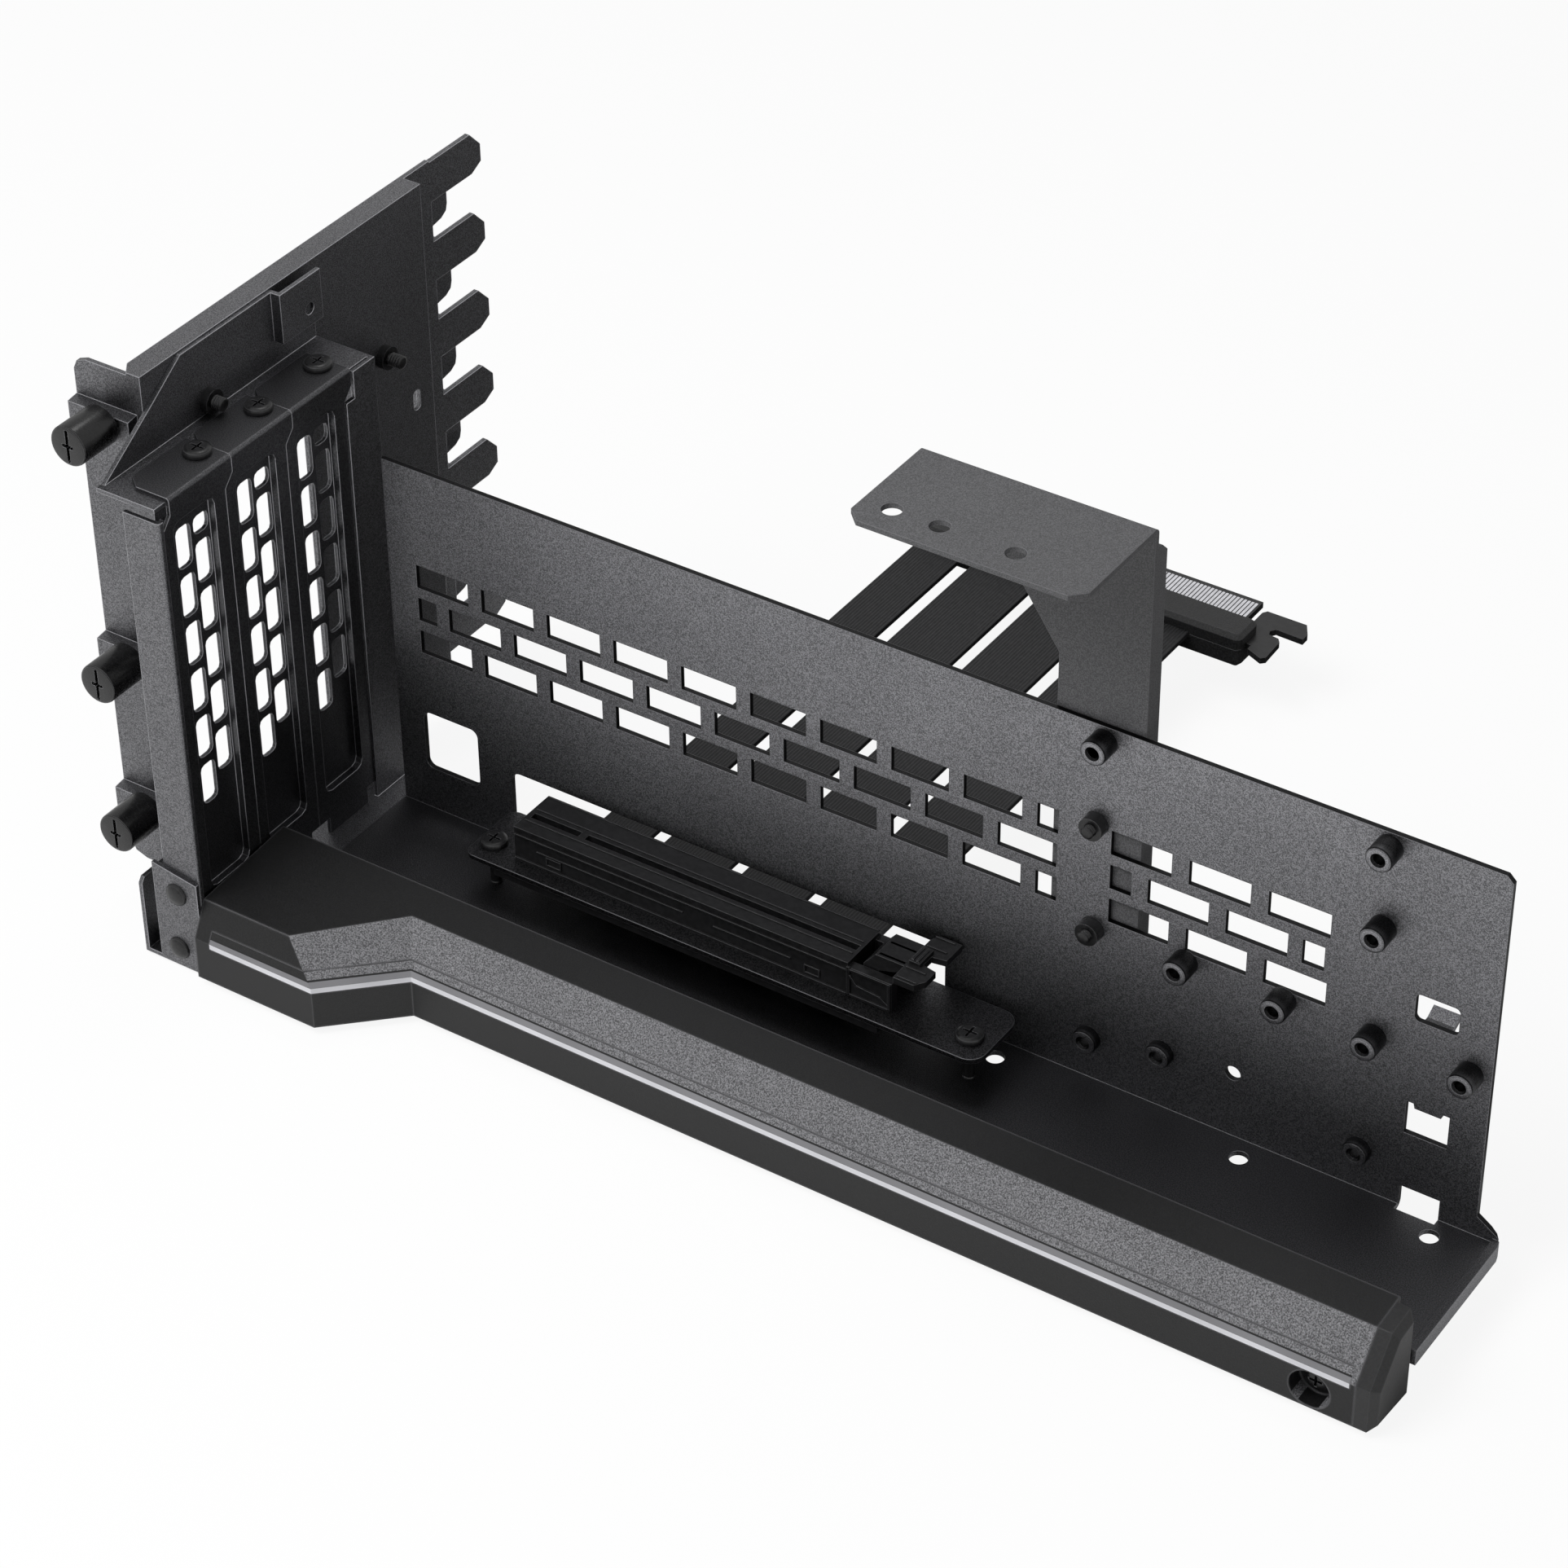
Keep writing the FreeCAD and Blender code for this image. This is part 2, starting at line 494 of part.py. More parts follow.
def trim_body():
    """Outer form of the trim: upright front, slanted chamfers and a top that falls to the front."""
    foot, top = trim_outlines()
    lower = prism("trim_lower", "xy", foot, ("trim_low_back", "chamfer_foot"))
    sections = []
    for name, outline, level in (("trim_foot_outline", foot, "chamfer_foot"),
                                 ("trim_crown_outline", top, "crown")):
        sketch = sketch_on(None, name, "xy", level)
        draw_polygon(sketch, outline)
        sections.append(sketch)
    upper = doc.addObject("Part::Loft", "trim_upper")
    upper.Sections = sections
    upper.Solid = True
    upper.Ruled = True
    fall = "(trim_top_back - wide_front) * top_slope"
    above = [("trim_top_back + 1", "trim_top + top_slope"), ("trim_top_back + 1", "crown + 5"),
             ("wide_front - 1", "crown + 5"), ("wide_front - 1", f"trim_top - {fall} - top_slope")]
    below = [("trim_front", "trim_low"), ("trim_back", "trim_low_back"), ("trim_back", "trim_low_back - 2"),
             ("wide_front - 1", "trim_low_back - 2"), ("wide_front - 1", "trim_low")]
    span = ("trim_left - 1", "trim_right + 1")
    behind = block("trim_behind", ("trim_left - 1", "trim_back", "trim_low_back - 2"),
                   ("trim_right + 1", "trim_top_back + 1", "9.4"))
    return cut("trim_outer", fuse("trim_form", [lower, upper]),
               [prism("trim_above", "yz", above, span), prism("trim_below", "yz", below, span), behind])


def make_trim():
    """Moulded front trim with its light strip, the boards that light it, end cap and screw."""
    outer = trim_body()
    band = block("strip_band", ("strip_left", "wide_front - 5", "strip_low"),
                 ("strip_right", "trim_top_back", "strip_high"))
    inner = [("trim_left - 5", "wide_front + trim_wall"), ("wide_right - 1.3", "wide_front + trim_wall"),
             ("wide_foot_right - 1.3", "trim_front + trim_wall"), ("trim_right + 5", "trim_front + trim_wall"),
             ("trim_right + 5", "0"), ("trim_left - 5", "0")]
    ring = cut("strip_ring", band, [prism("strip_inner", "xy", inner, ("strip_low - 1", "strip_high + 1"))])
    node(common("strip_common", outer, ring), "light_strip")
    hollow = [("trim_front + trim_wall", "-7"), ("trim_back - 2.4", "-7"), ("trim_back - 2.4", "8.2"),
              ("trim_front + 7.3", "7.8"), ("trim_front + trim_wall", "2.8")]
    wide_hollow = [("wide_front + trim_wall", "-7"), ("trim_front + trim_wall", "-7"),
                   ("trim_front + trim_wall", "7"), ("wide_front + 5.7", "6.2"),
                   ("wide_front + trim_wall", "2.6")]
    cavity = fuse("trim_cavity", [
        prism("narrow_hollow", "yz", hollow, ("trim_left + 2.4", "pocket_x - 8")),
        prism("wide_hollow", "yz", wide_hollow, ("trim_left + 2.4", "wide_right - 6"))])
    floor_slot = block("floor_slot", ("tray_left", "floor_front", "-tray_sheet"),
                       ("trim_right + 1", "trim_back + 1", "0"))
    screw_pocket = rod("screw_pocket", ("pocket_x", "trim_front - 1", "pocket_z"), "y", "pocket_radius", "5.6")
    screw_bore = rod("screw_bore", ("pocket_x", "trim_front", "pocket_z"), "y", "1.5", "13")
    outer_less_strip = cut("trim_less_strip", outer, [ring])
    recesses = fuse("trim_recesses", [cavity, floor_slot, screw_pocket, screw_bore])
    node(cut("trim_cut", outer_less_strip, [recesses]), "front_trim")
    board_back = "trim_front + trim_wall + 1"
    boards = [block("long_board", ("wide_foot_right + 2", "trim_front + trim_wall", "-2.5"),
                    ("pocket_x - 10", board_back, "2.6")),
              block("short_board", ("trim_left + 5", "wide_front + trim_wall", "-2.5"),
                    ("wide_right - 8", "wide_front + trim_wall + 1", "2.4"))]
    node(together("led_board_pair", boards), "led_boards")
    head = rod("trim_screw_head", ("pocket_x", "trim_front + 2.8", "pocket_z"), "y", "2.8", "1.8")
    shaft = rod("trim_screw_shaft", ("pocket_x", "trim_front + 4", "pocket_z"), "y", "1.5", "8")
    node(fuse("trim_screw_solid", [head, shaft]), "trim_screw")
    cap = new_body("cap_body")
    face = [("trim_back", "trim_low_back"), ("trim_front", "trim_low"), ("trim_front", "chamfer_foot"),
            ("trim_front + 7.9", "trim_top - 0.7"), ("trim_back", "trim_top - 0.12")]
    pad(cap, "cap_block", "yz", face, ("trim_right", "cap_right"))
    doc.recompute([cap])
    block_end = cap.Tip
    rim = [f"Edge{i}" for i, edge in enumerate(block_end.Shape.Edges, start=1)
           if abs(edge.CenterOfMass.x - value("cap_right")) < 0.01]
    bevel = cap.newObject("PartDesign::Chamfer", "cap_edge")
    bevel.Base = (block_end, rim)
    bevel.setExpression("Size", bound("cap_bevel"))
    node(cap, "trim_end_cap")


def make_slot_frame():
    """Folded frame that carries the slot covers: gusset, top flange, side walls and foot flange."""
    body = new_body("frame_body")
    back = "gusset_front - frame_sheet"
    raised = "gusset_front + raise_height"
    flange_low = "flange_top - frame_sheet"
    front = "frame_front - frame_sheet"
    wall_back = "frame_front - wall_depth"
    last_cover = "cover_left + 3 * cover_pitch"
    gusset = [("frame_left + 0.6", flange_low), ("frame_right", flange_low), ("frame_right", "gusset_top"),
              ("-36", "gusset_top"), ("-46.6", "122.2")]
    pad(body, "gusset", "yz", gusset, (back, "gusset_front"))
    pad(body, "gusset_raise", "yz", oblong(("raise_left", "raise_low"), ("frame_right", "gusset_top")),
        (back, raised))
    flange = oblong((back, "frame_left + 0.6"), ("cover_front - cover_sheet", "frame_right"))
    pad(body, "top_flange", "xy", flange, (flange_low, "flange_top"))
    walls = oblong((wall_back, "frame_low"), ("frame_front", "flange_top - 3"))
    pad(body, "left_wall", "xz", walls, ("frame_left", "frame_left + frame_sheet"))
    edge = oblong(("frame_left", "frame_low"), ("cover_left - 0.2", "flange_top - 3"))
    pad(body, "left_return", "yz", edge, (front, "frame_front"))
    beside = [(last_cover, "-tray_sheet - frame_sheet"), ("frame_right", "-tray_sheet - frame_sheet"),
              ("frame_right", "flange_top"), (f"{last_cover} + tab_offset + 0.2", "flange_top"),
              (f"{last_cover} + tab_offset + 0.2", "cover_shoulder - 0.4"), (last_cover, "cover_shoulder - 0.4")]
    pad(body, "right_return", "yz", beside, (front, "frame_front"))
    right_wall = oblong((wall_back, "-tray_sheet - frame_sheet"), ("frame_front", "flange_top"))
    pad(body, "right_wall", "xz", right_wall, ("frame_right - frame_sheet", "frame_right"))
    foot = oblong((wall_back, "frame_left"), ("tray_left + 9", "frame_right"))
    pad(body, "foot_flange", "xy", foot, ("-tray_sheet - frame_sheet", "-tray_sheet"))
    soften(body, "front_bend", "0.7", "z", [("frame_front", "frame_left")])
    cutters = [block("raise_hollow", (f"{back} - 1", "raise_left + frame_sheet", "raise_low + frame_sheet"),
                     (f"{raised} - frame_sheet", "frame_right + 1", "gusset_top + 1"))]
    for k in range(3):
        left = f"cover_left + foot_inset + {k} * cover_pitch"
        cutters.append(block(f"foot_slot_{k}", ("cover_front - cover_sheet", left, "-tray_sheet - 3"),
                             ("cover_front", f"{left} + foot_width", "0")))
        cutters.append(rod(f"tab_screw_hole_{k}", ("screw_x", f"screw_y + {k} * cover_pitch", "flange_top - 3"),
                           "z", "cover_screw_shaft", "6"))
    cutters.append(block("trim_room", ("frame_front", "trim_back - 40", "-20"),
                         ("frame_front + 40", "trim_back", "20")))
    nut_y, nut_z = FRAME_SCREWS[0]
    cutters.append(rod("gusset_screw_hole", (back + " - 1", nut_y, nut_z), "x", "frame_screw_radius", "4"))
    cutters.append(rod("gusset_hole", (back + " - 1", "3.6", "121.5"), "x", "1.4", "6"))
    cutters += corner_rivet_rods("frame_rivet_hole", "frame_left - 1", "3")
    node(cut("frame_cut", body, cutters), "slot_frame")


def corner_rivet_rods(name, start, length):
    """Rods at the two rivets of the corner bracket."""
    return [rod(f"{name}_{i}", (x, start, z), "y", "rivet_shaft", length) for i, (x, z) in enumerate(RIVETS)]


def cover_outline(left, right):
    """Outline of a cover's face, with its foot below and the sidestep of its screw tab above."""
    foot_left, foot_right = f"{left} + foot_inset", f"{left} + foot_inset + foot_width"
    tab_left, tab_right = f"{left} + tab_offset", f"{right} + tab_offset"
    return [(left, "cover_low"), (foot_left, "cover_low"), (foot_left, "foot_low + 1"),
            (f"{foot_left} + 1", "foot_low"), (f"{foot_right} - 1", "foot_low"), (foot_right, "foot_low + 1"),
            (foot_right, "cover_low"), (right, "cover_low"), (right, "cover_shoulder"),
            (tab_right, "cover_neck"), (tab_right, "flange_top + cover_sheet"),
            (tab_left, "flange_top + cover_sheet"), (tab_left, "cover_neck"), (left, "cover_shoulder")]


def make_covers():
    """Three slot covers, each a strip with a pressed pan of slits, a screw tab and a foot."""
    back = "cover_front - cover_sheet"
    for k in range(3):
        shift = f" + {k} * cover_pitch"
        left, right = "cover_left" + shift, "cover_left + cover_width" + shift
        tab_left, tab_right = left + " + tab_offset", right + " + tab_offset"
        body = new_body(f"cover_body_{k}")
        pad(body, f"face_{k}", "yz", cover_outline(left, right), (back, "cover_front"))
        tab = [("cover_front", tab_left), ("cover_front", tab_right), ("cover_front - tab_depth", tab_right),
               ("cover_front - tab_depth", tab_left + " + 2.6"), ("cover_front - tab_depth + 3.3", tab_left)]
        pad(body, f"tab_{k}", "xy", tab, ("flange_top", "flange_top + cover_sheet"))
        pan = oblong(("pan_left - cover_sheet" + shift, "pan_low - cover_sheet"),
                     ("pan_right + cover_sheet" + shift, "pan_high + cover_sheet"))
        pad(body, f"pan_{k}", "yz", pan, ("cover_front - pan_depth - cover_sheet", back))
        soften(body, f"tab_bend_{k}", "cover_sheet", "y", [("cover_front", "flange_top + cover_sheet")])
        hollow = prism(f"pan_hollow_{k}", "yz", clipped(("pan_left" + shift, "pan_low"),
                                                        ("pan_right" + shift, "pan_high"), "2"),
                       ("cover_front - pan_depth", "cover_front + 1"))
        slits = []
        for column, (y, z) in enumerate(SLIT_COLUMNS):
            for i in range(SLIT_ROWS):
                top = f"{z} - {i} * slit_pitch"
                foot = f"{z} - {i} * slit_pitch - slit_height"
                if value(top) > value("slits_top"):
                    top = "slits_top"
                corners = clipped((f"{y}{shift}", foot), (f"{y} + slit_width{shift}", top), "slit_radius")
                slits.append(prism(f"slit_{k}_{column}_{i}", "yz", corners,
                                   ("cover_front - 2 * pan_depth - 2", "cover_front - pan_depth + 0.4")))
        screw = rod(f"cover_screw_hole_{k}", ("screw_x", f"screw_y + {k} * cover_pitch", "flange_top - 1"),
                    "z", "cover_screw_shaft", "4")
        node(cut(f"cover_cut_{k}", cut(f"cover_pan_{k}", body, [hollow, screw]), slits), f"slot_cover_{k + 1}")


def make_cover_screws():
    """Flat-head screws that hold the covers' tabs down on the top flange."""
    screws = []
    for k in range(3):
        y = f"screw_y + {k} * cover_pitch"
        seat = "flange_top + cover_sheet"
        head = rod(f"cover_head_{k}", ("screw_x", y, seat), "z", "cover_head_radius", "cover_head_height")
        shaft = rod(f"cover_shaft_{k}", ("screw_x", y, f"{seat} - 4.5"), "z", "cover_screw_shaft", "4.5")
        screws.append(fuse(f"cover_screw_{k}", [head, shaft]))
    node(together("cover_screw_set", screws), "cover_screws")


def tongue_outline(top, foot):
    """Outline of one tongue, bevelled at its free corners."""
    return [("tongue_root - 1", foot), ("tongue_tip - 3.6", foot), ("tongue_tip", f"{foot} + 1.8"),
            ("tongue_tip", f"{top} - 3.9"), ("tongue_tip - 3.7", top), ("tongue_root - 1", top)]


def tongue_tab(index, top, back):
    """Small tab stepped back from the top of a tongue, that fills the gap up to the tongue above it."""
    spans = [("tongue_root - 4", f"{top} - plate_sheet"), ("tab_neck", f"{top} - plate_sheet"),
             ("tab_neck", f"{top} + 2.4"), ("tab_reach - 2.3", f"{top} + 3"),
             ("tab_reach - 0.5", f"{top} + 4.1"), ("tab_reach", f"{top} + 5.8"),
             ("tab_reach", f"{top} + slot_pitch - tongue_height + 1"),
             ("tongue_root - 4", f"{top} + slot_pitch - tongue_height + 1")]
    leaf = prism(f"tab_leaf_{index}", "yz", spans, (f"{back} - tab_step", f"{back} - tab_step + plate_sheet"))
    web = block(f"tab_web_{index}", (f"{back} - tab_step", "tongue_root - 4", f"{top} - plate_sheet"),
                (f"{back} + plate_sheet", "tab_neck", top))
    return [leaf, web]


def make_rear_plate():
    """Folded rear plate: port window, screw flange with raised seats, and the row of tongues."""
    body = new_body("plate_body")
    back = "plate_front - plate_sheet"
    strip_front = "plate_front - strip_step"
    strip_back = "plate_front - strip_step - plate_sheet"
    pad(body, "plate_face", "yz", oblong(("plate_left", "plate_low"), ("plate_right", "plate_top")),
        (back, "plate_front"))
    rim = [("plate_front", "plate_left"), ("plate_front", "plate_right"),
           ("plate_front - plate_flange", "plate_right"), ("plate_front - plate_flange", "plate_left + 3"),
           ("plate_front - plate_flange + 2.2", "plate_left")]
    pad(body, "plate_top_flange", "xy", rim, ("plate_top - plate_sheet", "plate_top"))
    flange = [("plate_front", "plate_low"), ("plate_front", "plate_top - 0.6"),
              ("screw_flange_left + 3.4", "plate_top - 0.6"), ("screw_flange_left + 1", "plate_top - 1.5"),
              ("screw_flange_left", "plate_top - 3.6"), ("screw_flange_left", "plate_low + 4"),
              ("screw_flange_left + 1.3", "plate_low + 1.1"), ("screw_flange_left + 4.4", "plate_low")]
    pad(body, "screw_flange", "xz", flange, ("plate_left", "plate_left + plate_sheet"))
    pad(body, "step_web", "xz", oblong((strip_back, "plate_low"), ("plate_front", "plate_top")),
        ("plate_right - plate_sheet", "plate_right"))
    strip = oblong(("plate_right - plate_sheet", "plate_low"), ("tongue_root", "plate_top"))
    pad(body, "tongue_strip", "yz", strip, (strip_back, strip_front))
    for i in range(3):
        z = seat_height(i)
        seat = [("plate_left - plate_seat", f"{z} - 4.6"), ("plate_left", f"{z} - 7"),
                ("plate_left", f"{z} + 2.6"), ("plate_left - plate_seat", f"{z} + 2.2")]
        pad(body, f"screw_seat_{i}", "yz", seat, ("screw_flange_left", "screw_flange_left + seat_length"))
    grown = []
    for i in range(7):
        top = f"plate_top - tongue_drop - {i} * slot_pitch"
        foot = f"{top} - tongue_height"
        if value(foot) < value("plate_low"):
            foot = "plate_low"
        grown.append(prism(f"tongue_{i}", "yz", tongue_outline(top, foot), (strip_back, strip_front)))
        if i > 0:
            grown += tongue_tab(i, top, strip_back)
    through = ("plate_front - 3", "plate_front + 1")
    ports = [rounded_prism("port_window", "yz", ("port_left", "port_low"), ("port_right", "port_high"), "3",
                           through),
             rounded_prism("plate_slot", "yz", ("plate_slot_left", "plate_slot_low"),
                           ("plate_slot_left + 2.6", "plate_slot_low + 5.1"), "1.1", through)]
    for i in range(3):
        ports.append(rod(f"thumb_hole_{i}", ("thumb_x", "plate_left - 5", seat_height(i)), "y",
                         "thumb_shaft + shaft_gap", "8"))
    for i, (y, z) in enumerate(FRAME_SCREWS):
        ports.append(rod(f"plate_screw_hole_{i}", ("plate_front - 4", y, z), "x", "frame_screw_radius", "8"))
    node(cut("plate_cut", fuse("plate_with_tongues", [body] + grown), ports), "rear_plate")


def seat_height(index):
    """Height of one thumb screw's axis, on the pitch of the card slots."""
    return f"thumb_top - {(0, 3, 5)[index]} * slot_pitch"


def make_thumb_screws():
    """Thumb screws with a slotted round head, a plain neck through the flange and a threaded end."""
    for i in range(3):
        z = seat_height(i)
        seat = "plate_left - plate_seat"
        tip = f"{seat} - thumb_length"
        head = rod(f"thumb_head_{i}", ("thumb_x", tip, z), "y", "thumb_radius", "thumb_length - head_gap")
        neck = rod(f"thumb_neck_{i}", ("thumb_x", f"{seat} - 1", z), "y", "thumb_shaft",
                   f"thread_start - ({seat}) + 1")
        thread = rod(f"thumb_thread_{i}", ("thumb_x", "thread_start - 1", z), "y", "thread_radius",
                     "shaft_tip - thread_start + 1")
        slot = block(f"thumb_slot_{i}", ("thumb_x - 0.5", f"{tip} - 1", f"{z} - thumb_radius - 1"),
                     ("thumb_x + 0.5", f"{tip} + 1.4", f"{z} + thumb_radius + 1"))
        solid = fuse(f"thumb_solid_{i}", [head, neck, thread])
        node(cut(f"thumb_cut_{i}", solid, [slot]), f"thumb_screw_{i + 1}")


def make_frame_screws():
    """Screws from behind the rear plate whose ends stand out of their press nuts."""
    screws, nuts = [], []
    for i, (y, z) in enumerate(FRAME_SCREWS):
        seat = "gusset_front" if i == 0 else "plate_front"
        head = rod(f"frame_head_{i}", ("plate_front - plate_sheet - 1.6", y, z), "x", "2.8", "1.6")
        shaft = rod(f"frame_shaft_{i}", ("plate_front - plate_sheet", y, z), "x", "frame_screw_radius",
                    f"{seat} + 4.6 - plate_front + plate_sheet")
        nut = rod(f"frame_nut_{i}", (seat, y, z), "x", "2.8", "2")
        bore = rod(f"frame_nut_bore_{i}", (f"{seat} - 1", y, z), "x", "frame_screw_radius", "4")
        screws.append(fuse(f"frame_screw_{i}", [head, shaft]))
        nuts.append(cut(f"frame_nut_cut_{i}", nut, [bore]))
    node(together("frame_screw_pair", screws), "frame_screws")
    node(together("frame_nut_pair", nuts), "frame_nuts")


def make_corner_bracket():
    """Riveted bracket at the foot of the frame's left wall, folded into an open channel outside it."""
    body = new_body("corner_body")
    outer = "frame_left - frame_sheet"
    wall = "gusset_front - frame_sheet"
    plate = [("corner_left", "corner_low"), ("frame_front", "corner_low"), ("frame_front", "corner_top - 2"),
             ("corner_left", "corner_top")]
    pad(body, "corner_plate", "xz", plate, (outer, "frame_left"))
    floor = oblong((wall, outer), ("corner_left + 2", "frame_left + corner_depth"))
    pad(body, "corner_floor", "xy", floor, ("corner_low", "corner_low + frame_sheet"))
    side = [(outer, "corner_low"), ("frame_left + corner_depth", "corner_low"),
            ("frame_left + corner_depth", "corner_wall_top"), (f"{outer} + 1", "corner_wall_top"),
            (outer, "corner_wall_top - 1.4")]
    pad(body, "corner_wall", "yz", side, (wall, "gusset_front"))
    holes = corner_rivet_rods("corner_rivet_hole", "frame_left - 3", "5")
    node(cut("corner_cut", body, holes), "corner_bracket")
    rivets = []
    for i, (x, z) in enumerate(RIVETS):
        head = doc.addObject("Part::Cone", f"rivet_head_{i}")
        head.setExpression("Radius1", bound("rivet_radius * 0.45"))
        head.setExpression("Radius2", bound("rivet_radius"))
        head.setExpression("Height", bound("rivet_height"))
        stand(head, (x, f"{outer} - rivet_height", z), "y")
        shank = rod(f"rivet_shank_{i}", (x, outer, z), "y", "rivet_shaft", "2 * frame_sheet")
        rivets.append(fuse(f"rivet_{i}", [head, shank]))
    node(together("rivet_pair", rivets), "corner_rivets")


def make_riser_base():
    """Cover plate of the riser on its two floor posts, with screws, and the circuit board below it."""
    body = new_body("base_body")
    low = "base_top - base_sheet"
    pad(body, "base_plate", "xy", oblong(("base_left", "base_front"), ("base_right", "base_back")),
        (low, "base_top"))
    soften(body, "base_corners_left", "2.5", "z", [("base_left", "base_front"), ("base_left", "base_back")])
    soften(body, "base_corners_right", "4", "z", [("base_right", "base_front"), ("base_right", "base_back")])
    well = block("base_well", ("slot_left", "slot_front", f"{low} - 1"),
                 ("slot_right", "slot_back", "base_top + 1"))
    holes = [rod(f"base_hole_{i}", (x, y, f"{low} - 1"), "z", "base_screw_shaft", "4")
             for i, (x, y) in enumerate(BASE_SCREWS)]
    node(cut("base_cut", body, [well] + holes), "riser_base")
    posts, screws = [], []
    for i, (x, y) in enumerate(BASE_SCREWS):
        posts.append(tube(f"post_{i}", (x, y, "0"), "z", ("post_radius", "base_screw_shaft"), low))
        head = rod(f"base_head_{i}", (x, y, "base_top"), "z", "cover_head_radius", "cover_head_height")
        shaft = rod(f"base_shaft_{i}", (x, y, "base_top - 7"), "z", "base_screw_shaft", "7")
        screws.append(fuse(f"base_screw_{i}", [head, shaft]))
    node(together("post_pair", posts), "riser_posts")
    node(together("base_screw_pair", screws), "riser_base_screws")
    board = block("board_block", ("base_left + 7.4", "base_front + 1.3", "board_top - board_sheet"),
                  ("slot_right + 9.5", "board_back", "board_top"))
    node(together("board_node", [board]), "riser_board")


def make_slot():
    """Card slot: housing with its keyed groove, rows of contacts, and two cheeks that hold the latch."""
    housing = block("slot_block", ("slot_left", "slot_front", "board_top"),
                    ("slot_right", "slot_back", "slot_top"))
    half = "groove_width / 2"
    key_left, key_right = "key_x - key_width / 2", "key_x + key_width / 2"
    spans = {"short": ("slot_left + 1.3", key_left), "long": (key_right, "slot_right - 0.8")}
    grooves = [block(f"groove_{name}", (start, f"groove_y - {half}", "groove_floor"),
                     (end, f"groove_y + {half}", "slot_top + 1")) for name, (start, end) in spans.items()]
    cheeks = [block("cheek_front", ("slot_right - 0.5", "slot_front", "base_top"),
                    ("cheek_right", "slot_front + cheek_sheet", "cheek_top")),
              block("cheek_back", ("slot_right - 0.5", "slot_back - cheek_sheet", "base_top"),
                    ("cheek_right", "slot_back", "cheek_top")),
              rod("cheek_pin", ("latch_pivot_x", "slot_front + 1", "latch_pivot_z"), "y", "pin_radius",
                  "slot_back - slot_front - 2")]
    node(cut("slot_cut", fuse("slot_form", [housing] + cheeks), grooves), "riser_slot")
    rows = []
    for name, (start, end) in spans.items():
        for side, low, high in (("front", f"groove_y - {half}", f"groove_y - {half} + contact_sheet"),
                                ("back", f"groove_y + {half} - contact_sheet", f"groove_y + {half}")):
            rows.append(block(f"contacts_{name}_{side}", (f"{start} + 0.4", low, "groove_floor"),
                              (f"{end} - 0.4", high, "slot_top - 1.8")))
    node(together("contact_rows", rows), "slot_contacts")


def make_latch():
    """Latch: a lever on the cheeks' pin, with a forked thumb plate above the slot's end."""
    pivot = "latch_pivot_x"
    low = "latch_top - latch_sheet"
    lever = [(f"{pivot} - 1.6", "latch_pivot_z"), (f"{pivot} - 1.1", "latch_pivot_z - 1.4"),
             (f"{pivot} + 1.1", "latch_pivot_z - 1.4"), (f"{pivot} + 1.6", "latch_pivot_z"),
             (f"{pivot} + 2.2", "slot_top - 1"), ("wing_left + 1", low), ("wing_left + 1", "latch_top"),
             (f"{pivot} + 1.4", "latch_top"), (f"{pivot} - 1.6", "slot_top - 0.6")]
    middle = "(slot_front + slot_back) / 2"
    stem = prism("latch_stem", "xz", lever, (f"{middle} - latch_half", f"{middle} + latch_half"))
    wings = [("wing_left", "wing_front"), ("wing_right - 1.6", "wing_front"),
             ("wing_right", "wing_front + 2.4"), ("wing_right", f"{middle} - fork_half"),
             ("wing_right - fork_depth", f"{middle} - fork_half + 0.6"),
             ("wing_right - fork_depth", f"{middle} + fork_half - 0.6"),
             ("wing_right", f"{middle} + fork_half"), ("wing_right", "wing_back"),
             ("wing_left + 1.4", "wing_back"), ("wing_left", "wing_back - 2")]
    plate = prism("latch_wings", "xy", wings, (low, "latch_top"))
    bore = rod("latch_bore", (pivot, "slot_front", "latch_pivot_z"), "y", "pin_radius + pin_gap",
               "slot_back - slot_front")
    node(cut("latch_cut", fuse("latch_solid", [stem, plate]), [bore]), "slot_latch")


def make_ribbons():
    """Four flat ribbon cables from the riser's board, level through the panel's window to the plug."""
    top, low = "board_top", "board_top - ribbon_thick"
    for i, (left, right) in enumerate(RIBBONS, start=1):
        band = block(f"ribbon_block_{i}", (left, "board_back", low), (right, "plug_front + 3", top))
        node(together(f"ribbon_node_{i}", [band]), f"ribbon_{i}")


